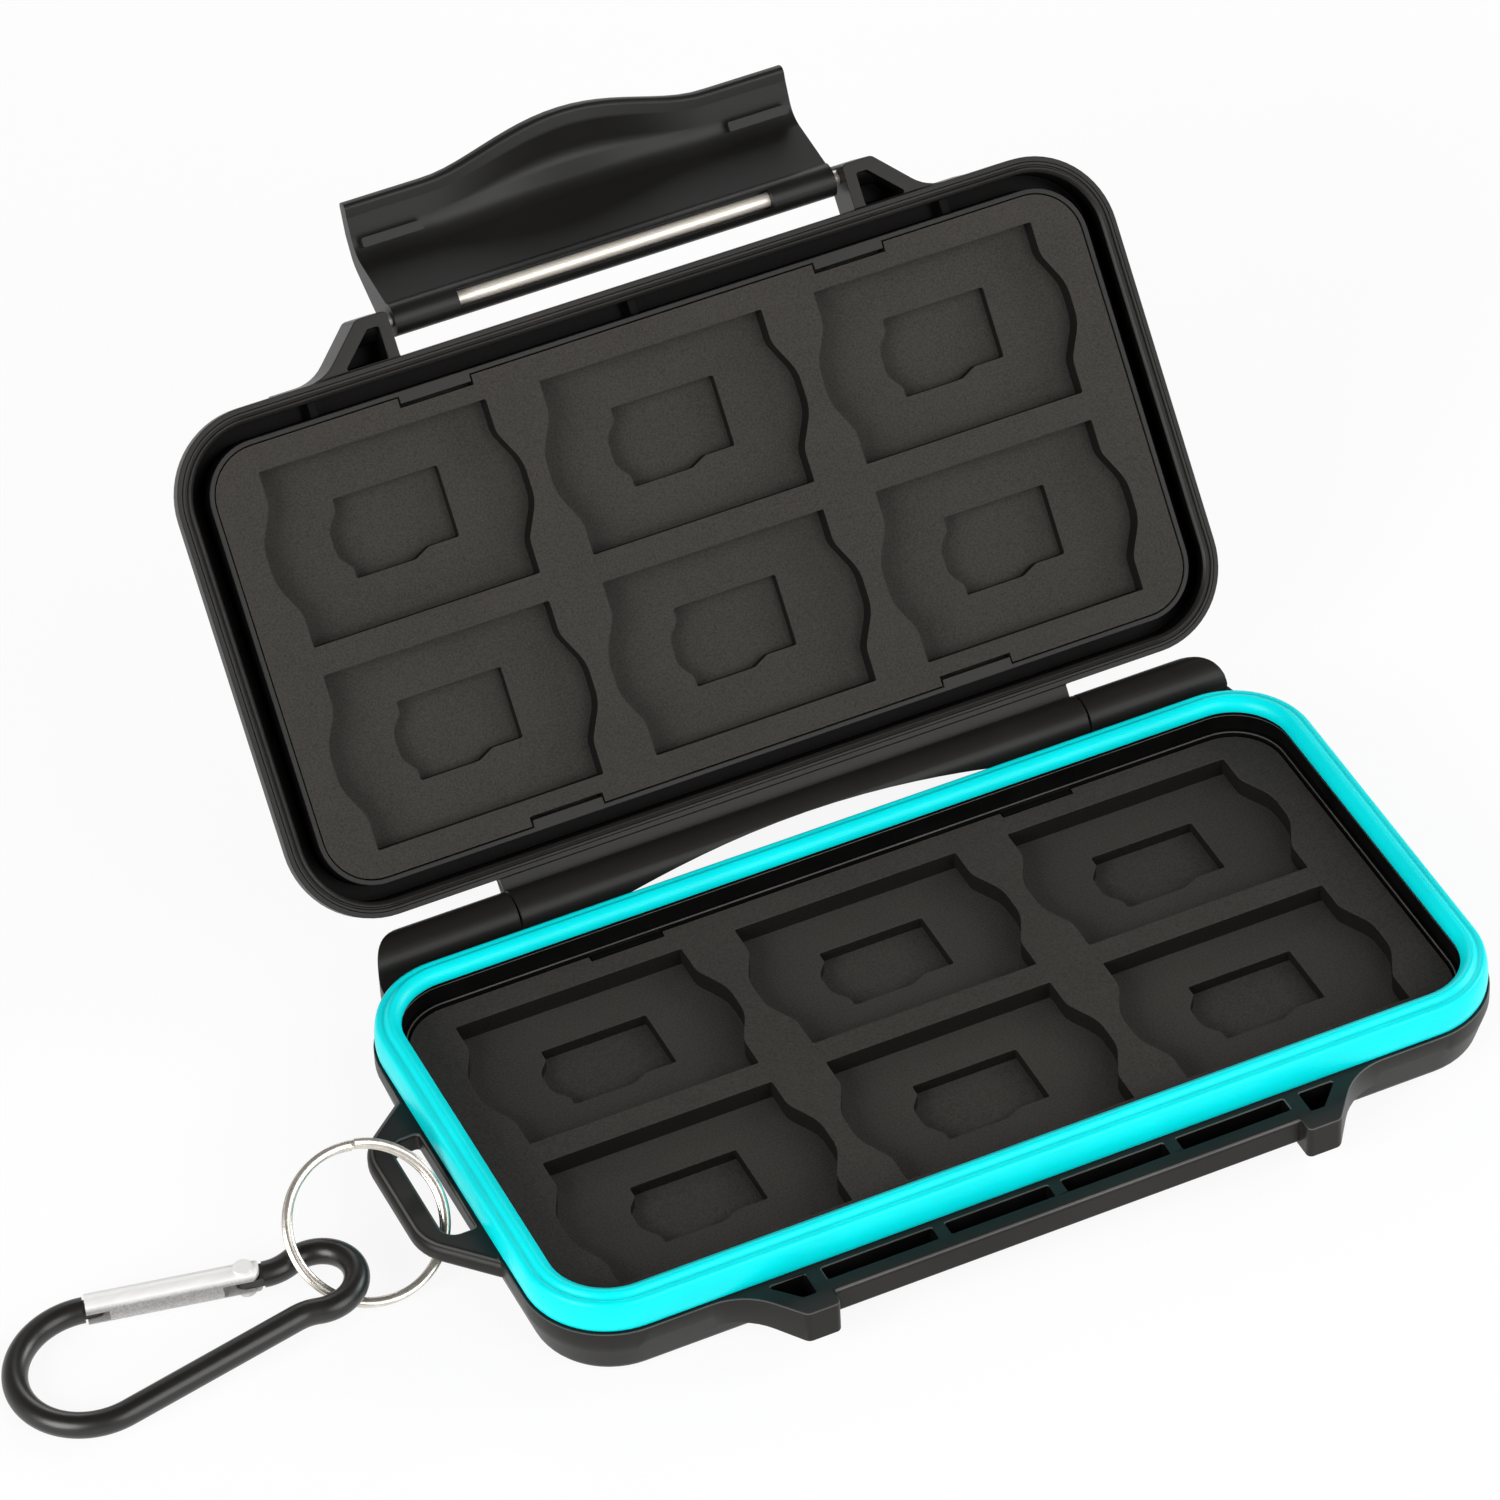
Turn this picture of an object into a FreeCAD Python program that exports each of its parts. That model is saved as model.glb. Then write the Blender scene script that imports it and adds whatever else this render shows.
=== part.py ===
import FreeCAD, Part
import math
import os

# Memory card case, standing open. Sizes in mm, X along the length, Y towards the hinge, Z up,
# the origin in the middle of the underside of the base. The lid is drawn shut and then turned open.

# Case outline, shared by the base and the lid
case_half_x = 68.6
case_half_y = 34.95
case_corner = 12.0
rim_band = 2.2
wall_draft = 0.287
edge_round = 2.4
root = 1.35

# Walls and gaps, from the outside of the case to the foam
rim_wall = 2.2
seal_lid_gap = 0.25
seal_wall = 0.35
lip_wall = 0.8
base_ledge = 0.85
base_foam_gap = 0.25
channel_gap = 0.75
lid_inner_wall = 0.7
lid_foam_gap = 0.15

# Foam sheets and the pockets in them
card_sheet = 2.9
micro_sheet = 1.8
base_backing = 0.5
lid_backing = 1.8
foam_drop = 0.3
lid_foam_drop = 0.1
foam_least_margin = 3.0
pocket_rib_x = 3.36
pocket_rib_y = 3.88
card_half_x = 16.3
card_half_y = 12.1
card_corner = 0.4
finger_start = 8.3
finger_bulge = 2.2
finger_flat = 3.5
finger_round = 14.5
finger_blend = 6.0
micro_left = 7.1
micro_right = 8.0
micro_top = 5.6
micro_bottom = 4.25
micro_deep = 1.1
micro_step_from = 3.6
micro_step_to = 1.4
micro_step_round = 1.0
micro_corner = 0.3
micro_finger = 1.7
micro_finger_half = 1.85
micro_finger_foot = 3.9
micro_finger_round = 2.4
micro_finger_blend = 0.8
clip_from_end = 38.3
clip_half = 5.1
clip_reach = 1.0
clip_gap = 0.2
clip_height = 1.4
clip_root = 0.3
clip_proud = 0.1

# Heights of the base and of the seal, from the shoulder of the base
base_floor = 3.0
lip_ledge = 0.3
lip_height = 3.9
seal_gap = 0.03
seal_height = 5.3
seal_flange_height = 2.9
seal_flange_inset = 0.4
seal_flange_round = 1.1
seal_lip_round = 0.45
rim_gap = 0.2

# Lid, in its shut place
lid_step = 0.6
lid_top_wall = 1.4
channel_depth = 5.0
channel_bevel = 0.45
rim_line_inset = 1.15
rim_line_width = 0.3
rim_line_depth = 0.3
channel_web_from_end = 22.2
channel_web_width = 1.2
channel_web_drop = 2.6
channel_web_root = 0.2

# Hinge
hinge_reach = 4.97
hinge_rise = 2.03
hinge_radius = 3.3
hinge_split_from_end = 26.6
hinge_end_gap = 0.25
hinge_end_from_end = 5.3
hinge_end_round = 9.5
hinge_split_round = 0.5
hinge_web_gap = 0.2
hinge_arch_radius = 137.0
hinge_arch_depth = 3.82
hinge_arch_from_split = 7.7
hinge_pin_radius = 1.2
hinge_pin_inside = 10.5
hinge_pin_cover = 5.8
pin_press = 0.01
pin_running = 0.05
pin_end_gap = 0.3
lid_open_deg = 129.2

# Latch, drawn with the lid shut and the latch swung open, its section given from the middle of its pin
latch_half = 32.3
latch_pin_reach = 4.85
latch_pin_rise = 3.8
latch_pin_radius = 1.0
latch_pin_hold = 3.3
latch_pin_end_gap = 0.1
latch_barrel_radius = 2.35
latch_window_half = 23.0
latch_window_side = 1.05
latch_window_deep = 0.6
latch_foot_out = 1.6
latch_foot_up = 3.3
latch_foot_round = 0.4
latch_knee_out = 9.0
latch_knee_up = 7.2
latch_knee_round = 7.0
latch_tip_out = 16.2
latch_tip_up = 4.8
latch_tip_round = 0.5
latch_lip = 1.6
latch_lip_up = 0.7
latch_lip_round = 1.2
latch_tip_thick = 2.0
latch_tip_over = 0.7
latch_back_round = 0.9
latch_wall_knee = 2.4
latch_wall_knee_round = 9.0
latch_heel_out = 0.6
latch_wall_foot = 2.1
latch_heel_round = 0.8
latch_neck_in = 1.8
latch_neck_low = 1.5
latch_neck_out = 2.2
latch_neck_drop = 0.6
latch_neck_top_out = 4.6
latch_neck_top_up = 4.88
latch_bulge = 3.7
latch_bulge_half = 20.5
latch_bulge_out = 0.94
latch_bulge_down = 0.3
latch_hook_from_end = 9.8
latch_hook_end_gap = 1.0
latch_hook_out = 10.1
latch_hook_up = 6.1
latch_hook_wide = 1.2
latch_hook_slope = 0.3
latch_hook_tall = 2.0
latch_hook_round = 0.2

# Ears on the lid that hold the latch pin
ear_side_gap = 1.0
ear_tip_wide = 4.5
ear_foot_wide = 10.9
ear_root_wide = 6.3
ear_root = 2.05
ear_reach = 6.35
ear_front_drop = 0.5
ear_depth = 6.7
ear_inner_round = 0.8
ear_tip_round = 1.2
ear_foot_round = 6.0
ear_window_side = 1.7
ear_window_back = 0.15
ear_window_tip = 1.7
ear_window_slope_tip = 1.2
ear_window_slope_foot = 3.0
ear_window_floor = 0.8
ear_boss_radius = 2.2
cell_corner = 0.3

# Front of the base: beam and lugs that the latch closes over
beam_reach = 5.05
beam_thick = 3.9
beam_round = 0.6
beam_wall = 2.4
lug_side_gap = 0.9
lug_corner_wide = 4.7
lug_foot_wide = 10.4
lug_root_wide = 6.4
lug_reach = 7.15
lug_thick = 5.0
lug_foot_round = 9.0
lug_cell_side = 2.0
lug_cell_front = 3.1
lug_cell_slope_tip = 0.8
lug_cell_slope_foot = 3.1
lug_cell_deeper = 1.0
front_cell_back = 0.45
front_cell_deep = 2.9
front_cell_past = 0.2
front_rib = 1.8
front_rib_x = 16.5

# Loop for the ring on the left end
loop_reach = 8.0
loop_slot_reach = 4.4
loop_slot_wall = 0.3
loop_slot_back_y = 10.0
loop_slot_front_y = -8.7
loop_slot_round = 2.0
loop_slot_wall_round = 0.5
loop_back_y = 10.8
loop_front_y = -8.1
loop_round = 7.5
loop_foot_back_y = 17.5
loop_foot_front_y = -16.7
loop_foot_round = 5.0
loop_root = 2.6
loop_root_wide = 1.5
loop_thick = 3.0
loop_edge = 1.2
loop_slot_edge = 0.5

# Split ring, hung in the loop
ring_from_loop = 4.4
ring_center_y = -1.3
ring_center_z = 8.0
ring_radius = 10.2
ring_wire = 0.7
ring_wire_wide = 1.25
ring_pitch = 1.12
ring_lean_deg = 38.7
ring_turns = 2
ring_start = 0.22

# Carabiner, drawn flat and then tipped up at its eye
rod_radius = 1.7
eye_from_ring = 8.5
eye_y = -5.3
eye_radius = 5.1
neck_radius = 6.0
bend_from_eye = 30.6
bend_y = -3.55
bend_radius = 9.75
spine_deg = 8.0
gate_deg = -16.1
tip_up_deg = 4.9
tip_far_z = 1.75
gate_radius = 2.0
gate_from = 0.35
gate_pivot_from_bend = 20.9
gate_slot = 1.9
gate_slot_back = 2.9
gate_nose_slot = 1.6
gate_nose_slot_end = 3.3
gate_nose = 2.5
gate_nose_half = 1.2
gate_nose_round = 1.1
gate_nose_root = 0.8
gate_nose_thick = 1.1
gate_tongue_thick = 1.4
gate_tongue_radius = 1.35
gate_shoulder = 2.35
gate_bore_radius = 1.0
gate_bore_from = 5.0
gate_bore_past = 0.5
rivet_radius = 0.7
rivet_head_radius = 1.25
rivet_head = 0.25
rivet_head_sunk = 0.4
spring_wire_radius = 0.3
spring_gap = 0.3

# Insets from the case outline that follow from the walls and gaps
seal_lip_outer_inset = rim_wall + seal_lid_gap
lip_outer_inset = seal_lip_outer_inset + seal_wall
lip_inner_inset = lip_outer_inset + lip_wall
base_cavity_inset = lip_inner_inset + base_ledge
base_foam_inset = base_cavity_inset + base_foam_gap
channel_inner_inset = lip_inner_inset + channel_gap
lid_cavity_inset = channel_inner_inset + lid_inner_wall
lid_foam_inset = lid_cavity_inset + lid_foam_gap

# Heights that follow from the foam sheets and the walls
micro_low = base_floor + base_backing
card_low = micro_low + micro_sheet
base_foam_top = card_low + card_sheet
base_shoulder_z = base_foam_top + foam_drop
lip_ledge_z = base_shoulder_z + lip_ledge
lip_top_z = base_shoulder_z + lip_height
seal_top_z = base_shoulder_z + seal_height
seal_flange_top_z = base_shoulder_z + seal_flange_height
rim_z = seal_flange_top_z + rim_gap
lid_foam_low = rim_z + lid_foam_drop
lid_micro_low = lid_foam_low + card_sheet
lid_backing_low = lid_micro_low + micro_sheet
lid_backing_top = lid_backing_low + lid_backing
lid_top_z = lid_backing_top + lid_top_wall

# Places on the outside that follow from the case outline and the latch
hinge_y = case_half_y + hinge_reach
hinge_z = base_shoulder_z + hinge_rise
hinge_split_x = case_half_x - hinge_split_from_end
hinge_end_x = case_half_x - hinge_end_from_end
hinge_pin_start = hinge_split_x - hinge_pin_inside
hinge_pin_end = hinge_end_x - hinge_pin_cover
latch_pin_y = -case_half_y - latch_pin_reach
latch_pin_z = rim_z + latch_pin_rise
ear_inner_x = latch_half + ear_side_gap
ear_tip_x = ear_inner_x + ear_tip_wide
ear_foot_x = ear_inner_x + ear_foot_wide
ear_tip_y = -case_half_y - ear_reach
latch_pin_half = ear_inner_x + latch_pin_hold
lug_inner_x = latch_half + lug_side_gap
lug_corner_x = lug_inner_x + lug_corner_wide
lug_foot_x = lug_inner_x + lug_foot_wide
lug_front_y = -case_half_y - lug_reach
beam_front_y = -case_half_y - beam_reach
loop_outer_x = -case_half_x - loop_reach
ring_center_x = loop_outer_x - ring_from_loop
eye_x = ring_center_x - eye_from_ring
bend_x = eye_x - bend_from_eye
tip_far_x = bend_x - bend_radius

X = FreeCAD.Vector(1, 0, 0)
Y = FreeCAD.Vector(0, 1, 0)
Z = FreeCAD.Vector(0, 0, 1)
past = 1.0  # how far a cutting shape runs past what it cuts


def point(x, y, z=0.0):
    return FreeCAD.Vector(x, y, z)


# An outline through corners (x, y, radius), each corner rounded by an arc
def outline(corners, z=0.0):
    count = len(corners)
    starts = []
    ends = []
    arcs = []
    for i in range(count):
        x, y, radius = corners[i]
        here = point(x, y, z)
        before = point(corners[i - 1][0], corners[i - 1][1], z)
        after = point(corners[(i + 1) % count][0], corners[(i + 1) % count][1], z)
        to_before = (before - here).normalize()
        to_after = (after - here).normalize()
        if radius == 0:
            starts.append(here)
            ends.append(here)
            arcs.append(None)
            continue
        half = to_before.getAngle(to_after) / 2
        reach = radius / math.tan(half)
        first = here + to_before * reach
        last = here + to_after * reach
        middle = here + (to_before + to_after).normalize() * (radius / math.sin(half) - radius)
        starts.append(first)
        ends.append(last)
        arcs.append(Part.Arc(first, middle, last).toShape())
    edges = []
    for i in range(count):
        if arcs[i] is not None:
            edges.append(arcs[i])
        following = starts[(i + 1) % count]
        if ends[i].distanceToPoint(following) > 1e-4:
            edges.append(Part.makeLine(ends[i], following))
    return Part.Wire(edges)


def slab(corners, low, high):
    return Part.Face(outline(corners, low)).extrude(point(0, 0, high - low))


# The case outline moved inwards by an inset
def inset_corners(inset):
    x = case_half_x - inset
    y = case_half_y - inset
    radius = case_corner - inset
    return [(-x, -y, radius), (x, -y, radius), (x, y, radius), (-x, y, radius)]


def inset_slab(inset, low, high):
    return slab(inset_corners(inset), low, high)


def drafted(low_inset, low, high_inset, high):
    low_wire = outline(inset_corners(low_inset), low)
    high_wire = outline(inset_corners(high_inset), high)
    return Part.makeLoft([low_wire, high_wire], True, True)


def flat_edges(shape, z):
    found = []
    for edge in shape.Edges:
        if abs(edge.BoundBox.ZMin - z) < 1e-4 and abs(edge.BoundBox.ZMax - z) < 1e-4:
            found.append(edge)
    return found


# Edges in a level plane that run at one inset from the case outline
def inset_edges(shape, z, inset):
    found = []
    for edge in flat_edges(shape, z):
        middle = edge.valueAt((edge.FirstParameter + edge.LastParameter) / 2)
        over_x = max(abs(middle.x) - (case_half_x - case_corner), 0)
        over_y = max(abs(middle.y) - (case_half_y - case_corner), 0)
        if over_x > 0 and over_y > 0:
            depth = case_corner - math.hypot(over_x, over_y)
        else:
            depth = case_corner - max(over_x, over_y)
        if abs(depth - inset) < 0.02:
            found.append(edge)
    return found


def rod_x(radius, start, end, y, z):
    return Part.makeCylinder(radius, end - start, point(start, y, z), X)


# A wire or face of the (y, z) plane, drawn flat, stood up at one x
def stand_up(shape, x):
    shape.rotate(point(0, 0, 0), point(1, 1, 1), 120)
    shape.translate(point(x, 0, 0))
    return shape


def prism_x(corners, start, end):
    face = stand_up(Part.Face(outline(corners)), start)
    return face.extrude(point(end - start, 0, 0))


def mirror_x(shape):
    return shape.mirror(point(0, 0, 0), X)


def both_sides(shape):
    return [shape, mirror_x(shape)]


def open_lid(shape):
    shape.rotate(point(0, hinge_y, hinge_z), X, -lid_open_deg)
    return shape


# Outline of a card pocket; flip is -1 where the sheet is seen from its other side
def card_pocket(cx, cy, flip):
    bulge = card_half_x + finger_bulge
    right = [(card_half_x, -card_half_y, card_corner), (card_half_x, -finger_start, finger_blend),
             (bulge, -finger_flat, finger_round), (bulge, finger_flat, finger_round),
             (card_half_x, finger_start, finger_blend), (card_half_x, card_half_y, card_corner)]
    left = [(-x, -y, radius) for x, y, radius in right]
    return [(cx + x, cy + flip * y, radius) for x, y, radius in right + left]


# Outline of the pocket for the smaller card, with a nick for the finger and a deeper step
def micro_pocket(cx, cy, flip):
    deep_bottom = micro_bottom + micro_deep
    finger_x = micro_left + micro_finger
    corners = [(micro_right, -micro_bottom, micro_corner), (micro_right, micro_top, micro_corner),
               (-micro_left, micro_top, micro_corner), (-micro_left, micro_finger_foot, micro_finger_blend),
               (-finger_x, micro_finger_half, micro_finger_round),
               (-finger_x, -micro_finger_half, micro_finger_round),
               (-micro_left, -micro_finger_foot, micro_finger_blend),
               (-micro_left, -deep_bottom, micro_corner),
               (micro_step_to, -deep_bottom, micro_step_round),
               (micro_step_from, -micro_bottom, micro_step_round)]
    return [(cx + x, cy + flip * y, radius) for x, y, radius in corners]


# Middles of as many pockets as a sheet has room for, along one of its sides
def pocket_places(foam_half, pocket_half, rib):
    pitch = 2 * pocket_half + rib
    count = int((2 * foam_half - 2 * foam_least_margin + rib) / pitch)
    return [(i - (count - 1) / 2) * pitch for i in range(count)]


def sheet(inset, low, high, pocket, flip):
    body = inset_slab(inset, low, high)
    columns = pocket_places(case_half_x - inset, card_half_x + finger_bulge, pocket_rib_x)
    rows = pocket_places(case_half_y - inset, card_half_y, pocket_rib_y)
    for x in columns:
        for y in rows:
            body = body.cut(slab(pocket(x, y, flip), low - past, high + past))
    return body


# Clip tabs that hold the foam down, and the notches in the foam for them
def clip_boxes(half_length, inset, reach, low, high, bite):
    boxes = []
    edge_y = case_half_y - inset
    clip_x = case_half_x - clip_from_end
    for side_x in (-1, 1):
        for side_y in (-1, 1):
            inner = side_y * (edge_y - reach)
            outer = side_y * (edge_y + bite)
            corner = point(side_x * clip_x - half_length, min(inner, outer), low)
            boxes.append(Part.makeBox(2 * half_length, abs(outer - inner), high - low, corner))
    return boxes


print("base shell")
draft_rise = base_shoulder_z - rim_band
base_shell = drafted(draft_rise * wall_draft, 0, 0, draft_rise)
base_shell = base_shell.makeFillet(edge_round, flat_edges(base_shell, 0))
base_shell = base_shell.fuse(inset_slab(0, draft_rise, base_shoulder_z))

knuckle_start = hinge_split_x + hinge_end_gap
knuckle_root = case_half_y - root
knuckle_back = hinge_y + hinge_radius
knuckle = rod_x(hinge_radius, knuckle_start, hinge_end_x, hinge_y, hinge_z)
knuckle_web = Part.makeBox(hinge_end_x - knuckle_start, hinge_y - knuckle_root, hinge_radius,
                           point(knuckle_start, knuckle_root, hinge_z - hinge_radius))
knuckle_plan = [(knuckle_start, knuckle_root, 0), (hinge_end_x, knuckle_root, 0),
                (hinge_end_x, knuckle_back, hinge_end_round),
                (knuckle_start, knuckle_back, hinge_split_round)]
knuckle = knuckle.fuse(knuckle_web).common(slab(knuckle_plan, 0, hinge_z + hinge_radius + past))

front_root = -case_half_y + root
beam_end = lug_inner_x + root
beam = slab([(-beam_end, beam_front_y, 0), (beam_end, beam_front_y, 0),
             (beam_end, front_root, 0), (-beam_end, front_root, 0)],
            base_shoulder_z - beam_thick, base_shoulder_z)
beam_edges = [edge for edge in beam.Edges if abs(edge.CenterOfMass.y - beam_front_y) < 1e-3]
beam = beam.makeFillet(beam_round, beam_edges)
lug_root_x = lug_foot_x + lug_root_wide
lug_under_z = base_shoulder_z - lug_thick


# Plan of a lug whose foot runs out into the front wall
def lug_corners(wall_y):
    return [(lug_inner_x, front_root, 0), (lug_inner_x, lug_front_y, ear_inner_round),
            (lug_corner_x, lug_front_y, ear_tip_round), (lug_foot_x, wall_y, lug_foot_round),
            (lug_root_x, wall_y, 0), (lug_root_x, front_root, 0)]


lug_under_y = -case_half_y + (draft_rise - lug_under_z) * wall_draft
lug = slab(lug_corners(-case_half_y), draft_rise, base_shoulder_z)
lug_lower = Part.makeLoft([outline(lug_corners(lug_under_y), lug_under_z),
                           outline(lug_corners(-case_half_y), draft_rise)], True, True)
lug = lug.fuse(lug_lower)
cell_back_y = -case_half_y - front_cell_back
cell_floor_z = base_shoulder_z - front_cell_deep
lug_cell_x = lug_inner_x + lug_cell_side
lug_cell_y = lug_front_y + lug_cell_front
lug_cell = slab([(lug_cell_x, cell_back_y, cell_corner),
                 (lug_foot_x - lug_cell_slope_foot, cell_back_y, cell_corner),
                 (lug_corner_x - lug_cell_slope_tip, lug_cell_y, cell_corner),
                 (lug_cell_x, lug_cell_y, cell_corner)],
                cell_floor_z - lug_cell_deeper, base_shoulder_z + past)

loop_root_x = -case_half_x + loop_root
loop_under_z = base_shoulder_z - loop_thick
loop = slab([(loop_root_x, loop_foot_back_y + loop_root_wide, 0),
             (-case_half_x, loop_foot_back_y, loop_foot_round),
             (loop_outer_x, loop_back_y, loop_round), (loop_outer_x, loop_front_y, loop_round),
             (-case_half_x, loop_foot_front_y, loop_foot_round),
             (loop_root_x, loop_foot_front_y - loop_root_wide, 0)],
            loop_under_z, base_shoulder_z)
loop_slot_x = -case_half_x - loop_slot_reach
loop_wall_x = -case_half_x - loop_slot_wall
loop_hole = slab([(loop_slot_x, loop_slot_front_y, loop_slot_round),
                  (loop_wall_x, loop_slot_front_y, loop_slot_wall_round),
                  (loop_wall_x, loop_slot_back_y, loop_slot_wall_round),
                  (loop_slot_x, loop_slot_back_y, loop_slot_round)],
                 loop_under_z - past, base_shoulder_z + past)
loop = loop.cut(loop_hole)


# Upper and lower edges of the loop, either those of its slot or those of its outside
def loop_rims(shape, of_slot):
    found = []
    for edge in flat_edges(shape, base_shoulder_z) + flat_edges(shape, loop_under_z):
        middle = edge.CenterOfMass
        along_slot = loop_slot_front_y - 1e-3 < middle.y < loop_slot_back_y + 1e-3
        in_slot = along_slot and middle.x > loop_slot_x - 1e-3
        if in_slot == of_slot and edge.BoundBox.XMax < loop_wall_x - loop_slot_wall_round:
            found.append(edge)
    return found


loop = loop.makeFillet(loop_edge, loop_rims(loop, False))
loop = loop.makeFillet(loop_slot_edge, loop_rims(loop, True))

for addition in both_sides(knuckle) + both_sides(lug) + [beam, loop]:
    base_shell = base_shell.fuse(addition)
base_shell = base_shell.cut(inset_slab(0, base_shoulder_z, hinge_z + hinge_radius + past))
base_shell = base_shell.fuse(inset_slab(lip_outer_inset, base_shoulder_z - past, lip_top_z))
base_shell = base_shell.cut(inset_slab(base_cavity_inset, base_floor, lip_ledge_z))
base_shell = base_shell.cut(inset_slab(lip_inner_inset, lip_ledge_z, lip_top_z + past))

front_cell_half = lug_inner_x - front_cell_past
cell_front_y = beam_front_y + beam_wall
cell_edges = [-front_cell_half, -front_rib_x, 0, front_rib_x, front_cell_half]
for i in range(4):
    cell_start = cell_edges[i] + (front_rib / 2 if i > 0 else 0)
    cell_end = cell_edges[i + 1] - (front_rib / 2 if i < 3 else 0)
    cell = slab([(cell_start, cell_front_y, cell_corner), (cell_end, cell_front_y, cell_corner),
                 (cell_end, cell_back_y, cell_corner), (cell_start, cell_back_y, cell_corner)],
                cell_floor_z, base_shoulder_z + past)
    base_shell = base_shell.cut(cell)
for addition in both_sides(lug_cell):
    base_shell = base_shell.cut(addition)
bore_end = hinge_pin_end + pin_end_gap
bore = rod_x(hinge_pin_radius + pin_press, knuckle_start - past, bore_end, hinge_y, hinge_z)
for addition in both_sides(bore):
    base_shell = base_shell.cut(addition)
clip_low = base_foam_top - clip_height
clip_top = base_foam_top + clip_proud
for tab in clip_boxes(clip_half, base_cavity_inset, clip_reach, clip_low, clip_top, clip_root):
    base_shell = base_shell.fuse(tab)
base_shell = base_shell.removeSplitter()

print("seal")
seal_gap_inset = lip_outer_inset - seal_gap
seal_low = base_shoulder_z + seal_gap
seal_gasket = inset_slab(seal_lip_outer_inset, seal_low, seal_top_z)
seal_gasket = seal_gasket.fuse(inset_slab(seal_flange_inset, seal_low, seal_flange_top_z))
seal_gasket = seal_gasket.cut(inset_slab(seal_gap_inset, seal_low - past, lip_top_z + seal_gap))
seal_gasket = seal_gasket.cut(inset_slab(lip_inner_inset, lip_top_z, seal_top_z + past))
seal_edges = inset_edges(seal_gasket, seal_top_z, lip_inner_inset)
seal_edges = seal_edges + inset_edges(seal_gasket, seal_top_z, seal_lip_outer_inset)
seal_gasket = seal_gasket.makeFillet(seal_lip_round, seal_edges)
flange_edges = inset_edges(seal_gasket, seal_flange_top_z, seal_flange_inset)
seal_gasket = seal_gasket.makeFillet(seal_flange_round, flange_edges)

print("base foam")
base_card_foam = sheet(base_foam_inset, card_low, base_foam_top, card_pocket, 1)
base_micro_foam = sheet(base_foam_inset, micro_low, card_low, micro_pocket, 1)
base_backing_foam = inset_slab(base_foam_inset, base_floor, micro_low)
notch_reach = clip_reach + clip_gap
notch_half = clip_half + clip_gap
notch_low = clip_low - clip_gap
for notch in clip_boxes(notch_half, base_cavity_inset, notch_reach, notch_low, base_foam_top + past, past):
    base_card_foam = base_card_foam.cut(notch)

print("lid shell")
draft_start_z = rim_z + rim_band
lid_top_inset = lid_step + (lid_top_z - draft_start_z) * wall_draft
lid_shell = drafted(lid_step, draft_start_z, lid_top_inset, lid_top_z)
lid_shell = lid_shell.makeFillet(edge_round, flat_edges(lid_shell, lid_top_z))
lid_shell = lid_shell.fuse(inset_slab(0, rim_z, draft_start_z))

ear_front_z = rim_z + ear_front_drop
ear_back_z = ear_front_z + ear_depth
ear_root_x = ear_foot_x + ear_root_wide
ear_root_y = -case_half_y + ear_root
ear = slab([(ear_inner_x, ear_root_y, 0), (ear_inner_x, ear_tip_y, ear_inner_round),
            (ear_tip_x, ear_tip_y, ear_tip_round), (ear_foot_x, -case_half_y, ear_foot_round),
            (ear_root_x, -case_half_y, 0), (ear_root_x, ear_root_y, 0)], ear_front_z, ear_back_z)
window_x = ear_inner_x + ear_window_side
window_back_y = -case_half_y - ear_window_back
window_tip_y = ear_tip_y + ear_window_tip
ear_window = slab([(window_x, window_back_y, cell_corner), (window_x, window_tip_y, cell_corner),
                   (ear_tip_x - ear_window_slope_tip, window_tip_y, cell_corner),
                   (ear_foot_x - ear_window_slope_foot, window_back_y, cell_corner)],
                  ear_front_z - past, ear_back_z - ear_window_floor)
boss = rod_x(ear_boss_radius, ear_inner_x, ear_foot_x, latch_pin_y, latch_pin_z)
ear = ear.cut(ear_window.cut(boss))
barrel = rod_x(hinge_radius, -hinge_split_x, hinge_split_x, hinge_y, hinge_z)
barrel_root = case_half_y - root
barrel_web_z = rim_z + hinge_web_gap
barrel_web = Part.makeBox(2 * hinge_split_x, hinge_y - barrel_root, hinge_z + hinge_radius - barrel_web_z,
                          point(-hinge_split_x, barrel_root, barrel_web_z))
arch_half = hinge_split_x - hinge_arch_from_split
arch_y = knuckle_back - hinge_arch_depth
arch_low_z = hinge_z - hinge_radius - past
arch_tall = 2 * (hinge_radius + past)
arch = Part.makeCylinder(hinge_arch_radius, arch_tall, point(0, arch_y + hinge_arch_radius, arch_low_z))
arch_box = Part.makeBox(2 * arch_half, hinge_arch_depth + past, arch_tall,
                        point(-arch_half, arch_y, arch_low_z))
barrel = barrel.fuse(barrel_web).cut(arch.common(arch_box))
for addition in both_sides(ear) + [barrel]:
    lid_shell = lid_shell.fuse(addition)

channel = inset_slab(rim_wall, rim_z - past, rim_z + channel_depth)
channel = channel.cut(inset_slab(channel_inner_inset, rim_z - 2 * past, lid_top_z))
lid_shell = lid_shell.cut(channel)
bevel = drafted(rim_wall - channel_bevel, rim_z, rim_wall, rim_z + channel_bevel)
bevel = bevel.cut(inset_slab(channel_inner_inset, rim_z - past, rim_z + past))
lid_shell = lid_shell.cut(bevel)
rim_line = inset_slab(rim_line_inset, rim_z - past, rim_z + rim_line_depth)
rim_line = rim_line.cut(inset_slab(rim_line_inset + rim_line_width, rim_z - 2 * past, rim_z + past))
lid_shell = lid_shell.cut(rim_line)
lid_shell = lid_shell.cut(inset_slab(lid_cavity_inset, rim_z - past, lid_backing_top))
channel_web_x = case_half_x - channel_web_from_end
web_wide = channel_inner_inset - rim_wall + 2 * channel_web_root
web_start_y = -case_half_y + rim_wall - channel_web_root
web_tall = channel_depth - channel_web_drop + channel_web_root
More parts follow.
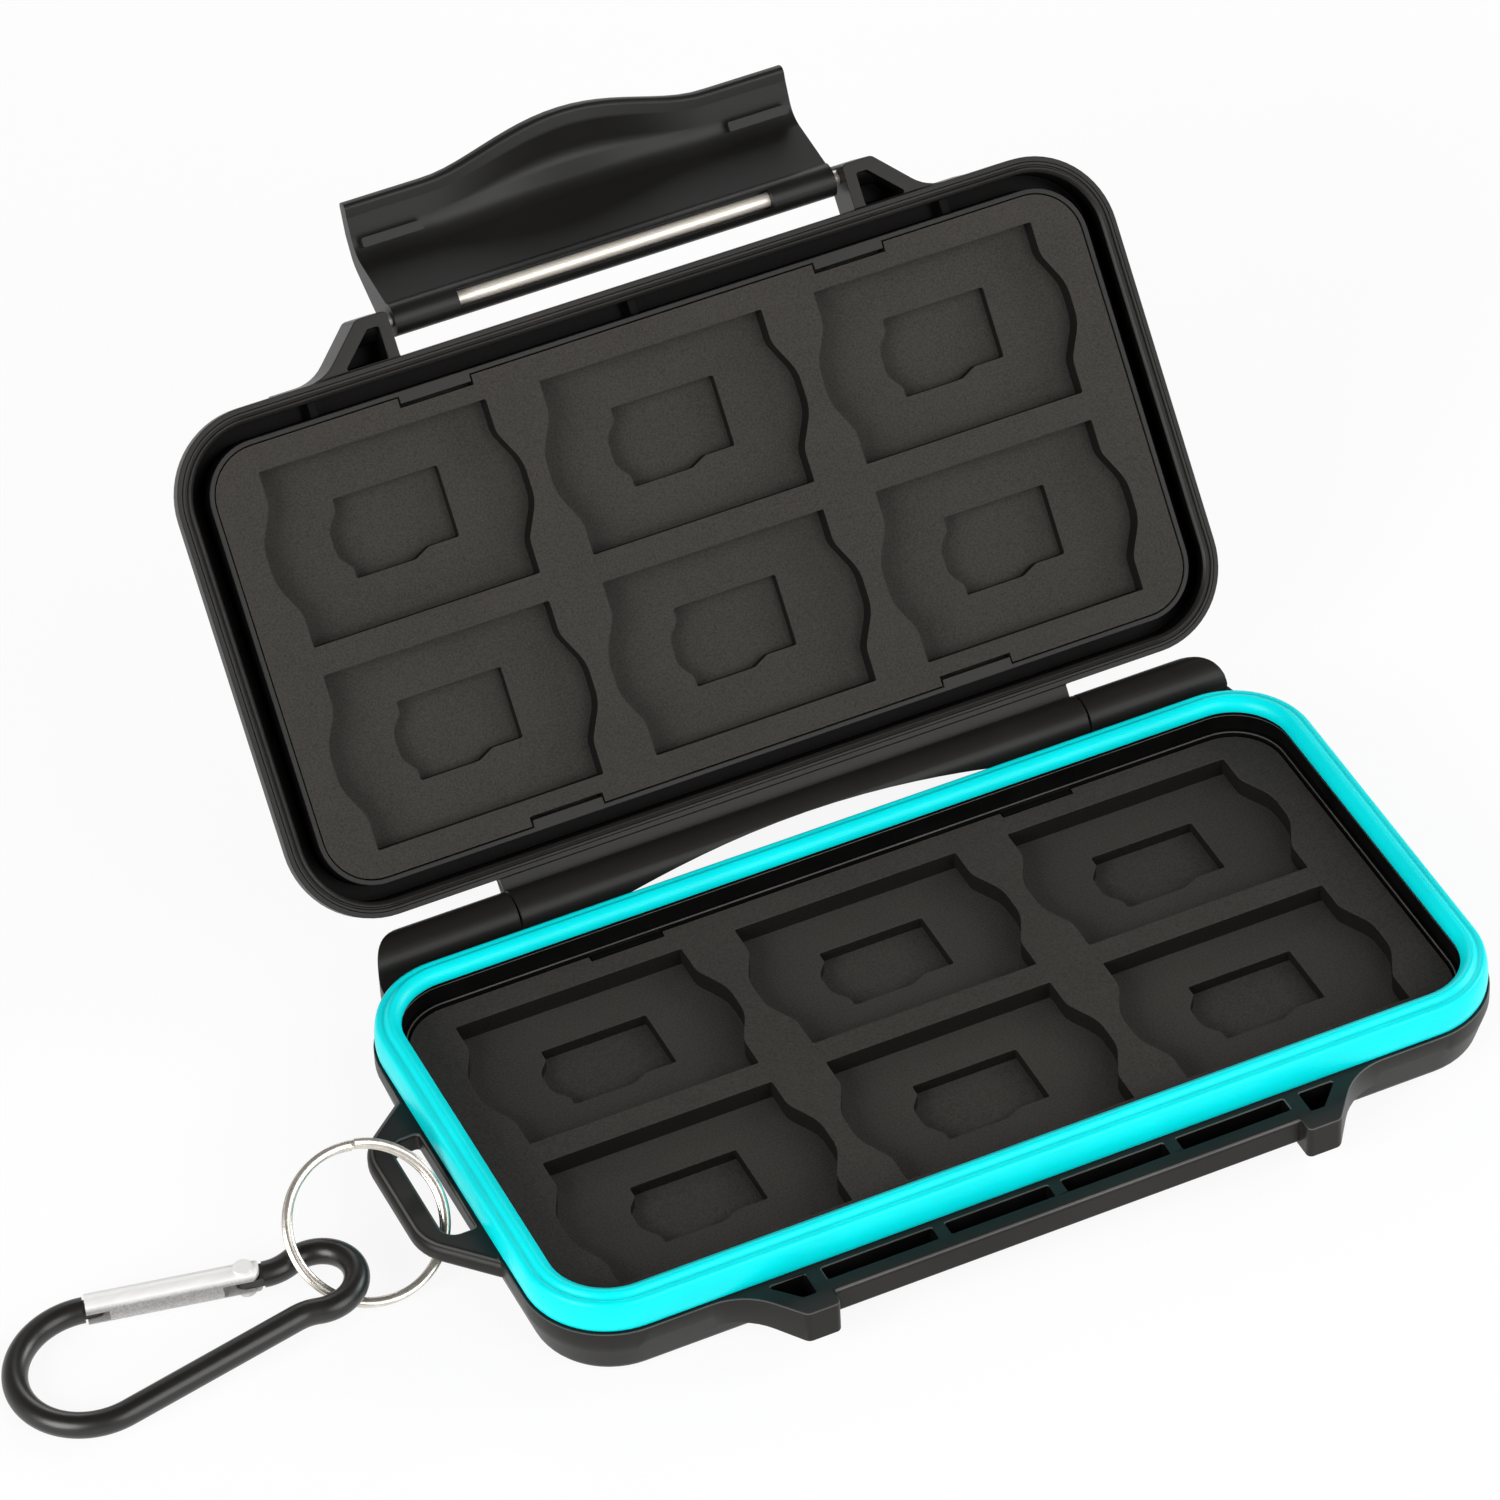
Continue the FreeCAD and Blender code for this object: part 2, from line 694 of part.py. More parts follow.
for web_x in (-channel_web_x, 0, channel_web_x):
    web_corner = point(web_x - channel_web_width / 2, web_start_y, rim_z + channel_web_drop)
    lid_shell = lid_shell.fuse(Part.makeBox(channel_web_width, web_wide, web_tall, web_corner))
for tab in clip_boxes(clip_half, lid_cavity_inset, clip_reach, rim_z, rim_z + clip_height, clip_root):
    lid_shell = lid_shell.fuse(tab)
bore_start = hinge_pin_start - pin_end_gap
bore = rod_x(hinge_pin_radius + pin_running, bore_start, hinge_split_x + past, hinge_y, hinge_z)
for addition in both_sides(bore):
    lid_shell = lid_shell.cut(addition)
pin_bore_half = latch_pin_half + latch_pin_end_gap
pin_bore = rod_x(latch_pin_radius + pin_press, -pin_bore_half, pin_bore_half, latch_pin_y, latch_pin_z)
lid_shell = lid_shell.cut(pin_bore).removeSplitter()

print("lid foam")
lid_card_foam = sheet(lid_foam_inset, lid_foam_low, lid_micro_low, card_pocket, -1)
lid_micro_foam = sheet(lid_foam_inset, lid_micro_low, lid_backing_low, micro_pocket, -1)
lid_backing_foam = inset_slab(lid_foam_inset, lid_backing_low, lid_backing_top)
notch_top = rim_z + clip_height + clip_gap
for notch in clip_boxes(notch_half, lid_cavity_inset, notch_reach, rim_z - past, notch_top, past):
    lid_card_foam = lid_card_foam.cut(notch)

print("pins")
hinge_pin_right = rod_x(hinge_pin_radius, hinge_pin_start, hinge_pin_end, hinge_y, hinge_z)
hinge_pin_left = mirror_x(hinge_pin_right)
latch_pin = rod_x(latch_pin_radius, -latch_pin_half, latch_pin_half, latch_pin_y, latch_pin_z)

print("latch")


# A corner of the latch, given outwards and upwards from the middle of its pin
def from_pin(out, up, radius=0):
    return (latch_pin_y - out, latch_pin_z + up, radius)


# Section of the flap, from its foot by the pin to its rolled tip; grow lengthens it for the thumb
def latch_section(x, grow):
    tip_out = latch_tip_out + latch_bulge_out * grow
    tip_up = latch_tip_up - latch_bulge_down * grow
    corners = [from_pin(latch_foot_out, latch_foot_up, latch_foot_round),
               from_pin(latch_knee_out, latch_knee_up, latch_knee_round),
               from_pin(tip_out - latch_lip, tip_up + latch_lip_up, latch_lip_round),
               from_pin(tip_out, tip_up, latch_tip_round),
               from_pin(tip_out + latch_tip_over, tip_up + latch_tip_thick, latch_back_round),
               from_pin(latch_knee_out, latch_knee_up + latch_wall_knee, latch_wall_knee_round),
               from_pin(latch_heel_out, latch_foot_up + latch_wall_foot, latch_heel_round)]
    return stand_up(outline(corners), x)


# The thumb bulge is full in the middle of the flap and fades out in a bell shape
def bulge_at(x):
    share = min(abs(x) / latch_bulge_half, 1.0)
    return latch_bulge * (1 - share ** 2) ** 2


half_stations = [latch_bulge_half * quarter / 4 for quarter in (1, 2, 3, 4)]
half_stations = half_stations + [(latch_bulge_half + latch_half) / 2, latch_half]
stations = [-x for x in reversed(half_stations)] + [0.0] + half_stations
latch = Part.makeLoft([latch_section(x, bulge_at(x)) for x in stations], True, False)
latch_barrel = rod_x(latch_barrel_radius, -latch_half, latch_half, latch_pin_y, latch_pin_z)
latch_neck = prism_x([from_pin(-latch_neck_in, latch_neck_low), from_pin(latch_neck_out, -latch_neck_drop),
                      from_pin(latch_neck_top_out, latch_neck_top_up),
                      from_pin(2 * latch_heel_out, latch_foot_up + latch_wall_foot)], -latch_half, latch_half)
latch = latch.fuse(latch_barrel).fuse(latch_neck)
window_deep = latch_barrel_radius + past + latch_window_deep
window_corner = point(-latch_window_half, latch_pin_y - latch_barrel_radius + latch_window_side,
                      latch_pin_z - latch_barrel_radius - past)
window_wide = 2 * (latch_barrel_radius - latch_window_side)
window = Part.makeBox(2 * latch_window_half, window_wide, window_deep, window_corner)
latch = latch.cut(window)
latch_bore_end = latch_half + past
latch_bore = rod_x(latch_pin_radius + pin_running, -latch_bore_end, latch_bore_end, latch_pin_y, latch_pin_z)
latch = latch.cut(latch_bore)
hook_far = latch_hook_out + latch_hook_wide
hook_low = latch_hook_up - latch_hook_slope
hook = prism_x([from_pin(latch_hook_out, latch_hook_up, latch_hook_round),
                from_pin(hook_far, hook_low, latch_hook_round),
                from_pin(hook_far + latch_hook_slope, hook_low + latch_hook_tall),
                from_pin(latch_hook_out + latch_hook_slope, latch_hook_up + latch_hook_tall)],
               latch_half - latch_hook_from_end, latch_half - latch_hook_end_gap)
for addition in both_sides(hook):
    latch = latch.fuse(addition)
latch = latch.removeSplitter()

print("split ring")
lean = math.radians(ring_lean_deg)
ring_normal = point(0, -math.sin(lean), math.cos(lean))
ring_up = point(0, math.cos(lean), math.sin(lean))
ring_center = point(ring_center_x, ring_center_y, ring_center_z)


def ring_point(turn):
    angle = 2 * math.pi * turn
    along = (turn - ring_turns / 2) * ring_pitch
    return ring_center + X * (ring_radius * math.cos(angle)) + ring_up * (ring_radius * math.sin(angle)) \
        + ring_normal * along


def ring_way(turn):
    angle = 2 * math.pi * turn
    round_way = ring_up * math.cos(angle) - X * math.sin(angle)
    return (round_way * (2 * math.pi * ring_radius) + ring_normal * ring_pitch).normalize()


# The arc that leaves a point along a tangent and ends in another point
def tangent_arc(start, way, end):
    chord = end - start
    aside = (chord - way * chord.dot(way)).normalize()
    radius = chord.dot(chord) / (2 * chord.dot(aside))
    center = start + aside * radius
    middle = center + ((start - center) + (end - center)).normalize() * radius
    return Part.Arc(start, middle, end).toShape()


# Two arcs that join two points of the winding and follow its way at both
def winding_arcs(first, last):
    start = ring_point(first)
    end = ring_point(last)
    start_way = ring_way(first)
    end_way = ring_way(last)
    chord = end - start
    ways = start_way + end_way
    spread = 2 * (1 - start_way.dot(end_way))
    reach = (math.sqrt(chord.dot(ways) ** 2 + spread * chord.dot(chord)) - chord.dot(ways)) / spread
    joint = (start + end + (start_way - end_way) * reach) * 0.5
    return [tangent_arc(start, start_way, joint), tangent_arc(end, end_way * -1, joint)]


ring_arcs = []
for quarter in range(4 * ring_turns):
    quarter_start = ring_start + quarter / 4
    ring_arcs = ring_arcs + winding_arcs(quarter_start, quarter_start + 0.25)
ring_path = Part.Wire(Part.sortEdges(ring_arcs)[0])
wire_middle = ring_point(ring_start)
wire_out = X * math.cos(2 * math.pi * ring_start) + ring_up * math.sin(2 * math.pi * ring_start)
wire_up = ring_way(ring_start).cross(wire_out).normalize()
wire_side = wire_middle + wire_out * (ring_wire_wide / 2)
wire_top = wire_middle + wire_up * (ring_wire / 2)
wire_oval = Part.Ellipse(wire_side, wire_top, wire_middle)
ring_profile = Part.Wire(wire_oval.toShape())
split_ring = ring_path.makePipeShell([ring_profile], True, False)
ring_steps = range(60 * ring_turns + 1)
least = min(ring_point(ring_start + a / 60).distanceToPoint(ring_point(ring_start + b / 60))
            for a in ring_steps for b in ring_steps if b - a > 30) - ring_wire
print("least gap between the turns of the ring", round(least, 3))

print("carabiner")


def direction(degrees):
    return point(math.cos(math.radians(degrees)), math.sin(math.radians(degrees)))


bend = point(bend_x, bend_y)
eye = point(eye_x, eye_y)
gate_way = direction(gate_deg)
spine_way = direction(spine_deg)
gate_out = point(-gate_way.y, gate_way.x)
spine_out = point(spine_way.y, -spine_way.x)
gate_start = bend + gate_out * bend_radius
spine_start = bend + spine_out * bend_radius


# A line that swings outwards through the neck and runs on round the eye
def neck(start, way, out):
    along = (eye - start).dot(way)
    inside = -(eye - start).dot(out)
    back = math.sqrt((eye_radius + neck_radius) ** 2 - (inside + neck_radius) ** 2)
    line_end = start + way * (along - back)
    center = line_end + out * neck_radius
    on_eye = eye + (center - eye) * (eye_radius / (eye_radius + neck_radius))
    middle = center + ((line_end - center) + (on_eye - center)).normalize() * neck_radius
    return line_end, middle, on_eye


gate_line_end, gate_neck, gate_on_eye = neck(gate_start, gate_way, gate_out)
spine_line_end, spine_neck, spine_on_eye = neck(spine_start, spine_way, spine_out)
pivot = gate_start + gate_way * gate_pivot_from_bend
shoulder = pivot + gate_way * gate_shoulder
bend_side = bend - (gate_way + spine_way).normalize() * bend_radius
rod_path = Part.Wire([
    Part.makeLine(shoulder, gate_line_end),
    Part.Arc(gate_line_end, gate_neck, gate_on_eye).toShape(),
    Part.Arc(gate_on_eye, eye + (eye - bend).normalize() * eye_radius, spine_on_eye).toShape(),
    Part.Arc(spine_on_eye, spine_neck, spine_line_end).toShape(),
    Part.makeLine(spine_line_end, spine_start),
    Part.Arc(spine_start, bend_side, gate_start).toShape(),
])
rod_profile = Part.Wire(Part.makeCircle(rod_radius, shoulder, gate_way))
carabiner_body = rod_path.makePipeShell([rod_profile], True, False)


# Shapes along the gate are drawn on the X axis from the end of the bend, then turned on to the gate line
def on_gate(shape):
    shape.rotate(point(0, 0, 0), Z, gate_deg)
    shape.translate(gate_start)
    return shape


# A disc or hole round the pivot of the gate
def at_pivot(radius, low, high):
    return Part.makeCylinder(radius, high - low, point(gate_pivot_from_bend, 0, low))


tongue_start = gate_pivot_from_bend - gate_tongue_radius
tongue_end = gate_pivot_from_bend + gate_shoulder + gate_nose_root
tongue = slab([(gate_pivot_from_bend, -gate_tongue_radius, 0), (tongue_end, -gate_tongue_radius, 0),
               (tongue_end, gate_tongue_radius, 0), (gate_pivot_from_bend, gate_tongue_radius, 0)],
              -gate_tongue_thick / 2, gate_tongue_thick / 2)
tongue = tongue.fuse(at_pivot(gate_tongue_radius, -gate_tongue_thick / 2, gate_tongue_thick / 2))
tongue = tongue.cut(at_pivot(rivet_radius + pin_running, -gate_tongue_thick, gate_tongue_thick))
nose = slab([(-gate_nose_root, -gate_nose_half, 0), (gate_nose, -gate_nose_half, gate_nose_round),
             (gate_nose, gate_nose_half, gate_nose_round), (-gate_nose_root, gate_nose_half, 0)],
            -gate_nose_thick / 2, gate_nose_thick / 2)
carabiner_body = carabiner_body.fuse(on_gate(tongue)).fuse(on_gate(nose)).removeSplitter()

gate = Part.makeCylinder(gate_radius, gate_pivot_from_bend - gate_from, point(gate_from, 0, 0), X)
gate_end = Part.makeCylinder(gate_radius, 2 * gate_radius, point(gate_pivot_from_bend - gate_radius, 0, 0), X)
gate = gate.fuse(at_pivot(gate_radius, -gate_radius, gate_radius).common(gate_end))
gate_slot_start = gate_pivot_from_bend - gate_slot_back
gate_wide = 2 * (gate_radius + past)
gate_side = -gate_radius - past
gate = gate.cut(Part.makeBox(gate_slot_back + gate_radius + past, gate_wide, gate_slot,
                             point(gate_slot_start, gate_side, -gate_slot / 2)))
gate = gate.cut(Part.makeBox(gate_nose_slot_end + past, gate_wide, gate_nose_slot,
                             point(-past, gate_side, -gate_nose_slot / 2)))
gate_bore_long = gate_slot_start + gate_bore_past - gate_bore_from
gate = gate.cut(Part.makeCylinder(gate_bore_radius, gate_bore_long, point(gate_bore_from, 0, 0), X))
gate = gate.cut(at_pivot(rivet_radius + pin_press, -gate_radius - past, gate_radius + past))
rivet = at_pivot(rivet_radius, -gate_radius, gate_radius)
head_low = gate_radius - rivet_head_sunk
head_high = gate_radius + rivet_head
upper_head = at_pivot(rivet_head_radius, head_low, head_high)
lower_head = at_pivot(rivet_head_radius, -head_high, -head_low)
for head in (upper_head, lower_head):
    gate = gate.cut(head)
    rivet = rivet.fuse(head)
spring_start = gate_bore_from + spring_gap
spring_end = tongue_start - spring_gap
spring = Part.makeCylinder(spring_wire_radius, spring_end - spring_start, point(spring_start, 0, 0), X)
carabiner_gate = on_gate(gate.removeSplitter())
gate_rivet = on_gate(rivet.removeSplitter())
gate_spring = on_gate(spring)


def tip_up(shape):
    shape.translate(point(0, 0, tip_far_z))
    shape.rotate(point(tip_far_x, 0, tip_far_z), Y, -tip_up_deg)
    return shape


for piece in (carabiner_body, carabiner_gate, gate_rivet, gate_spring):
    tip_up(piece)
for piece in (lid_shell, lid_card_foam, lid_micro_foam, lid_backing_foam, latch, latch_pin):
    open_lid(piece)

nodes = {
    "base_shell": base_shell,
    "seal_gasket": seal_gasket,
    "base_card_foam": base_card_foam,
    "base_micro_foam": base_micro_foam,
    "base_backing_foam": base_backing_foam,
    "hinge_pin_left": hinge_pin_left,
    "hinge_pin_right": hinge_pin_right,
    "lid_shell": lid_shell,
    "lid_card_foam": lid_card_foam,
    "lid_micro_foam": lid_micro_foam,
    "lid_backing_foam": lid_backing_foam,
    "latch_pin": latch_pin,
    "latch": latch,
    "split_ring": split_ring,
    "carabiner_body": carabiner_body,
    "carabiner_gate": carabiner_gate,
    "gate_rivet": gate_rivet,
    "gate_spring": gate_spring,
}
os.makedirs("parts", exist_ok=True)
for name, shape in nodes.items():
    solids = shape.Solids
    print(name, "solids", len(solids), "valid", shape.isValid(), "volume", round(shape.Volume, 1))
    solids[0].exportStep("parts/" + name + ".step")
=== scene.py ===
import math
import bpy
from mathutils import Matrix, Vector


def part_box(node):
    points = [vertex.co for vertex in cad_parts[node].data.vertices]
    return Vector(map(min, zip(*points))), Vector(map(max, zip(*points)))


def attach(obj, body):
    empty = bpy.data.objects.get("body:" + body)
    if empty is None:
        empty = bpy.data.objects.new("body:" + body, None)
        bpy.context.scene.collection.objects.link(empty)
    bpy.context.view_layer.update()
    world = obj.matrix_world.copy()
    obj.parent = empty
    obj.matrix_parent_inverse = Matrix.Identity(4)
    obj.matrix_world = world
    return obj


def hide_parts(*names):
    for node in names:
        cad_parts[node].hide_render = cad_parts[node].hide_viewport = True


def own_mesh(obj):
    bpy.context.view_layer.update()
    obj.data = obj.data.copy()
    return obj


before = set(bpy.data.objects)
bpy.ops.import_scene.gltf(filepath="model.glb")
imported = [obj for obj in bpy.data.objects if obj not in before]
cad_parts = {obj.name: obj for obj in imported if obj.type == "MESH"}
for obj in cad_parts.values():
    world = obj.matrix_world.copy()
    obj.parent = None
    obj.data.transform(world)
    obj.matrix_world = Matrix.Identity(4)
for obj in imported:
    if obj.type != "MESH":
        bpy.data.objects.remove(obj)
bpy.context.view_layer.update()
mm = 0.001


def deselectAll():
    bpy.ops.object.select_all(action="DESELECT")


def makeActive(piece):
    deselectAll()
    piece.select_set(True)
    bpy.context.view_layer.objects.active = piece


def applyModifiers(piece):
    makeActive(piece)
    for modifier in list(piece.modifiers):
        bpy.ops.object.modifier_apply(modifier=modifier.name)


def joinPieces(pieces):
    makeActive(pieces[0])
    for other in pieces[1:]:
        other.select_set(True)
    bpy.ops.object.join()
    return pieces[0]


# the other piece is used up
def cutOrAdd(piece, other, operation):
    boolean = piece.modifiers.new("cutOrAdd", "BOOLEAN")
    boolean.operation = operation
    boolean.solver = "EXACT"
    boolean.object = other
    applyModifiers(piece)
    bpy.data.objects.remove(other)


def smoothPlain(piece):
    makeActive(piece)
    bpy.ops.object.shade_smooth()
    bpy.ops.mesh.customdata_custom_splitnormals_clear()


# round edges shade smoothly and flat faces stay flat
def shadeByAngle(piece, angle, flatWeight=60):
    smoothPlain(piece)
    bpy.ops.object.shade_smooth_by_angle(angle=math.radians(angle), keep_sharp_edges=False)
    weighted = piece.modifiers.new("flatFaces", "WEIGHTED_NORMAL")
    weighted.mode = "FACE_AREA"
    weighted.weight = flatWeight
    weighted.keep_sharp = True
    applyModifiers(piece)


# edges sharper than the angle get a small round
def roundEdges(piece, width, angle, shadeAngle=40, clamp=True):
    smoothPlain(piece)
    bevel = piece.modifiers.new("edgeRound", "BEVEL")
    bevel.width = width * mm
    bevel.segments = 2
    bevel.limit_method = "ANGLE"
    bevel.angle_limit = math.radians(angle)
    bevel.use_clamp_overlap = clamp
    bevel.harden_normals = False
    applyModifiers(piece)
    shadeByAngle(piece, shadeAngle)


# corners are (x, y, radius) in mm, and a radius of 0 leaves the corner sharp
def roundedPoints(corners, steps=6):
    points = []
    count = len(corners)
    for i, (x, y, radius) in enumerate(corners):
        here = Vector((x, y))
        if radius == 0:
            points.append(here)
            continue
        toBefore = (Vector(corners[i - 1][:2]) - here).normalized()
        toAfter = (Vector(corners[(i + 1) % count][:2]) - here).normalized()
        half = toBefore.angle(toAfter) / 2
        first = here + toBefore * (radius / math.tan(half))
        centre = here + (toBefore + toAfter).normalized() * (radius / math.sin(half))
        last = here + toAfter * (radius / math.tan(half))
        startAngle = math.atan2(first.y - centre.y, first.x - centre.x)
        sweep = math.atan2(last.y - centre.y, last.x - centre.x) - startAngle
        sweep = (sweep + math.pi) % (2 * math.pi) - math.pi
        for k in range(steps + 1):
            turn = startAngle + sweep * k / steps
            points.append(centre + Vector((math.cos(turn), math.sin(turn))) * radius)
    return points


def boxCorners(lowX, highX, nearY, farY, radius):
    return [(lowX, nearY, radius), (highX, nearY, radius), (highX, farY, radius), (lowX, farY, radius)]


def centredBox(halfX, halfY, radius):
    return boxCorners(-halfX, halfX, -halfY, halfY, radius)


# a disc whose rim is laid on the outline, then pulled up
def plateFromOutline(name, points, low, high):
    deselectAll()
    bpy.ops.mesh.primitive_circle_add(vertices=len(points), radius=1, fill_type="NGON")
    plate = bpy.context.object
    plate.name = name
    plate.data.name = name
    for vertex, spot in zip(plate.data.vertices, points):
        vertex.co = (spot.x * mm, spot.y * mm, low * mm)
    bpy.ops.object.mode_set(mode="EDIT")
    bpy.ops.mesh.select_all(action="SELECT")
    bpy.ops.mesh.extrude_region_move(TRANSFORM_OT_translate={"value": (0, 0, (high - low) * mm)})
    bpy.ops.mesh.select_all(action="SELECT")
    bpy.ops.mesh.normals_make_consistent(inside=False)
    bpy.ops.object.mode_set(mode="OBJECT")
    return plate


# a grid laid over closed sections and sewn; a ring meets its own start, other rows get end caps
def loftSections(name, sections, ringShape=False, seamGap=0.001):
    around = len(sections[0])
    rows = sections + sections[:1] if ringShape else sections
    deselectAll()
    bpy.ops.mesh.primitive_grid_add(x_subdivisions=around, y_subdivisions=len(rows) - 1, size=1)
    piece = bpy.context.object
    piece.name = name
    piece.data.name = name
    for j, section in enumerate(rows):
        for i in range(around + 1):
            piece.data.vertices[j * (around + 1) + i].co = Vector(section[i % around]) * mm
    bpy.ops.object.mode_set(mode="EDIT")
    bpy.ops.mesh.select_all(action="SELECT")
    bpy.ops.mesh.remove_doubles(threshold=seamGap * mm)
    if not ringShape:
        bpy.ops.mesh.fill_holes(sides=0)
    bpy.ops.mesh.select_all(action="SELECT")
    bpy.ops.mesh.normals_make_consistent(inside=False)
    bpy.ops.object.mode_set(mode="OBJECT")
    return piece


def placePiece(piece, body, node, material):
    piece.data.materials.clear()
    piece.data.materials.append(material)
    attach(piece, body)
    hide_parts(node)


print("materials")


# every pattern lies on the piece's own coordinates
def newFinish(name):
    material = bpy.data.materials.new(name)
    material.use_nodes = True
    tree = material.node_tree
    place = tree.nodes.new("ShaderNodeTexCoord")
    return material, tree, tree.nodes["Principled BSDF"], place.outputs["Object"]


def addNode(tree, kind, **values):
    node = tree.nodes.new(kind)
    for key, value in values.items():
        node.inputs[key].default_value = value
    return node


# a noise is (scale, detail, roughness)
def noiseOn(tree, place, noise):
    scale, detail, roughness = noise
    node = addNode(tree, "ShaderNodeTexNoise", Scale=scale, Detail=detail, Roughness=roughness)
    tree.links.new(place, node.inputs["Vector"])
    return node.outputs["Fac"]


# the same noise, drawn out into lines where an axis has a small scale
def linesOn(tree, place, stretch, noise):
    mapping = addNode(tree, "ShaderNodeMapping", Scale=stretch)
    tree.links.new(place, mapping.inputs["Vector"])
    return noiseOn(tree, mapping.outputs["Vector"], noise)


def colourRamp(tree, share, stops, tones):
    ramp = tree.nodes.new("ShaderNodeValToRGB")
    while len(ramp.color_ramp.elements) < len(stops):
        ramp.color_ramp.elements.new(0.5)
    for element, stop, tone in zip(ramp.color_ramp.elements, stops, tones):
        element.position = stop
        element.color = (*tone, 1)
    tree.links.new(share, ramp.inputs["Fac"])
    return ramp.outputs["Color"]


def mapRange(tree, value, fromLimits=(0, 1), toLimits=(0, 1)):
    node = tree.nodes.new("ShaderNodeMapRange")
    node.inputs["From Min"].default_value = fromLimits[0]
    node.inputs["From Max"].default_value = fromLimits[1]
    node.inputs["To Min"].default_value = toLimits[0]
    node.inputs["To Max"].default_value = toLimits[1]
    tree.links.new(value, node.inputs["Value"])
    return node.outputs["Result"]


def setTone(tree, shader, share, stops, tones):
    tree.links.new(colourRamp(tree, share, stops, tones), shader.inputs["Base Color"])


def setRoughness(tree, shader, share, limits):
    tree.links.new(mapRange(tree, share, toLimits=limits), shader.inputs["Roughness"])


# a bump is (strength, depth in metres)
def setBump(tree, shader, height, bump):
    strength, depth = bump
    node = addNode(tree, "ShaderNodeBump", Strength=strength, Distance=depth)
    tree.links.new(height, node.inputs["Height"])
    tree.links.new(node.outputs["Normal"], shader.inputs["Normal"])


sparkTexture = {"clouds": (38, 4, 0.55), "grain": (4200, 2, 0.6), "stops": (0.35, 0.68),
                "rough": (0.34, 0.47), "bump": (0.1, 0.00003)}
# painted light and shade: the shell and the latch are one plastic, in a lighter copy for the shell and a
# darker copy for the latch to suit how each is lit
shellFinish = {"tones": ((0.0096, 0.0088, 0.0079), (0.0150, 0.0138, 0.0124)), "specular": 0.22}
latchFinish = {"tones": ((0.0062, 0.0058, 0.0053), (0.0108, 0.0102, 0.0094)), "specular": 0.29}
# painted highlight for the thin edge faces that catch the light
edgeHighlightFinish = {"tones": ((0.050, 0.048, 0.045), (0.095, 0.092, 0.087)), "specular": 0.5}


# moulded black plastic: fine spark texture over faint flow clouds
def sparkedPlastic(name, finish):
    material, tree, shader, place = newFinish(name)
    clouds = noiseOn(tree, place, sparkTexture["clouds"])
    grain = noiseOn(tree, place, sparkTexture["grain"])
    setTone(tree, shader, clouds, sparkTexture["stops"], finish["tones"])
    setRoughness(tree, shader, grain, sparkTexture["rough"])
    setBump(tree, shader, grain, sparkTexture["bump"])
    shader.inputs["Specular IOR Level"].default_value = finish["specular"]
    return material


# painted shade for faces deep in the channels and cells
deepShadeFinish = {"clouds": (160, 4, 0.6), "stops": (0.35, 0.68),
                  "tones": ((0.0028, 0.0027, 0.0026), (0.0048, 0.0046, 0.0044)),
                  "rough": (0.24, 0.34), "specular": 0.03}


# painted shade: the deep channels and cells get a much darker, barely reflecting plastic in place of the
# shade that falls in them
def deepShadePlastic(name, finish):
    material, tree, shader, place = newFinish(name)
    clouds = noiseOn(tree, place, finish["clouds"])
    setTone(tree, shader, clouds, finish["stops"], finish["tones"])
    setRoughness(tree, shader, clouds, finish["rough"])
    shader.inputs["Specular IOR Level"].default_value = finish["specular"]
    return material


foamTexture = {"cells": 4200, "speckle": (3600, 3, 0.7), "clouds": (90, 3, 0.5), "cloudShare": 0.12,
               "stops": (0.30, 0.60, 0.68, 0.76), "dust": 1.9, "bump": (0.35, 0.00006),
               "rough": 0.92, "specular": 0.12}
foamFinish = {"dark": (0.0258, 0.0236, 0.0212), "light": (0.0470, 0.0434, 0.0392)}
# painted shade for the pocket walls
pocketWallShadeFinish = {"dark": (0.0032, 0.0028, 0.0024), "light": (0.0088, 0.0080, 0.0070)}


# closed cell foam: fine cells, faint clouds and paler dust specks
def foamSheet(name, finish):
    material, tree, shader, place = newFinish(name)
    cells = addNode(tree, "ShaderNodeTexVoronoi", Scale=foamTexture["cells"])
    tree.links.new(place, cells.inputs["Vector"])
    mixed = tree.nodes.new("ShaderNodeMix")
    mixed.data_type = "FLOAT"
    mixed.inputs[0].default_value = foamTexture["cloudShare"]
    tree.links.new(noiseOn(tree, place, foamTexture["speckle"]), mixed.inputs[2])
    tree.links.new(noiseOn(tree, place, foamTexture["clouds"]), mixed.inputs[3])
    dust = [foamTexture["dust"] * value for value in finish["light"]]
    tones = (finish["dark"], finish["light"], finish["light"], dust)
    setTone(tree, shader, mixed.outputs[0], foamTexture["stops"], tones)
    setBump(tree, shader, cells.outputs["Distance"], foamTexture["bump"])
    shader.inputs["Roughness"].default_value = foamTexture["rough"]
    shader.inputs["Specular IOR Level"].default_value = foamTexture["specular"]
    return material


sealFinish = {"clouds": (60, 3, 0.5), "skin": (1800, 2, 0.5), "stops": (0.3, 0.7),
              "tones": ((0.0, 0.71, 0.74), (0.0, 0.80, 0.83)),
              "rough": (0.28, 0.40), "bump": (0.05, 0.00004), "specular": 0.18}


# soft silicone: slight cloudiness, satin skin
def sealRubber(name, finish):
    material, tree, shader, place = newFinish(name)
    clouds = noiseOn(tree, place, finish["clouds"])
    skin = noiseOn(tree, place, finish["skin"])
    setTone(tree, shader, clouds, finish["stops"], finish["tones"])
    setRoughness(tree, shader, skin, finish["rough"])
    setBump(tree, shader, skin, finish["bump"])
    shader.inputs["Specular IOR Level"].default_value = finish["specular"]
    return material


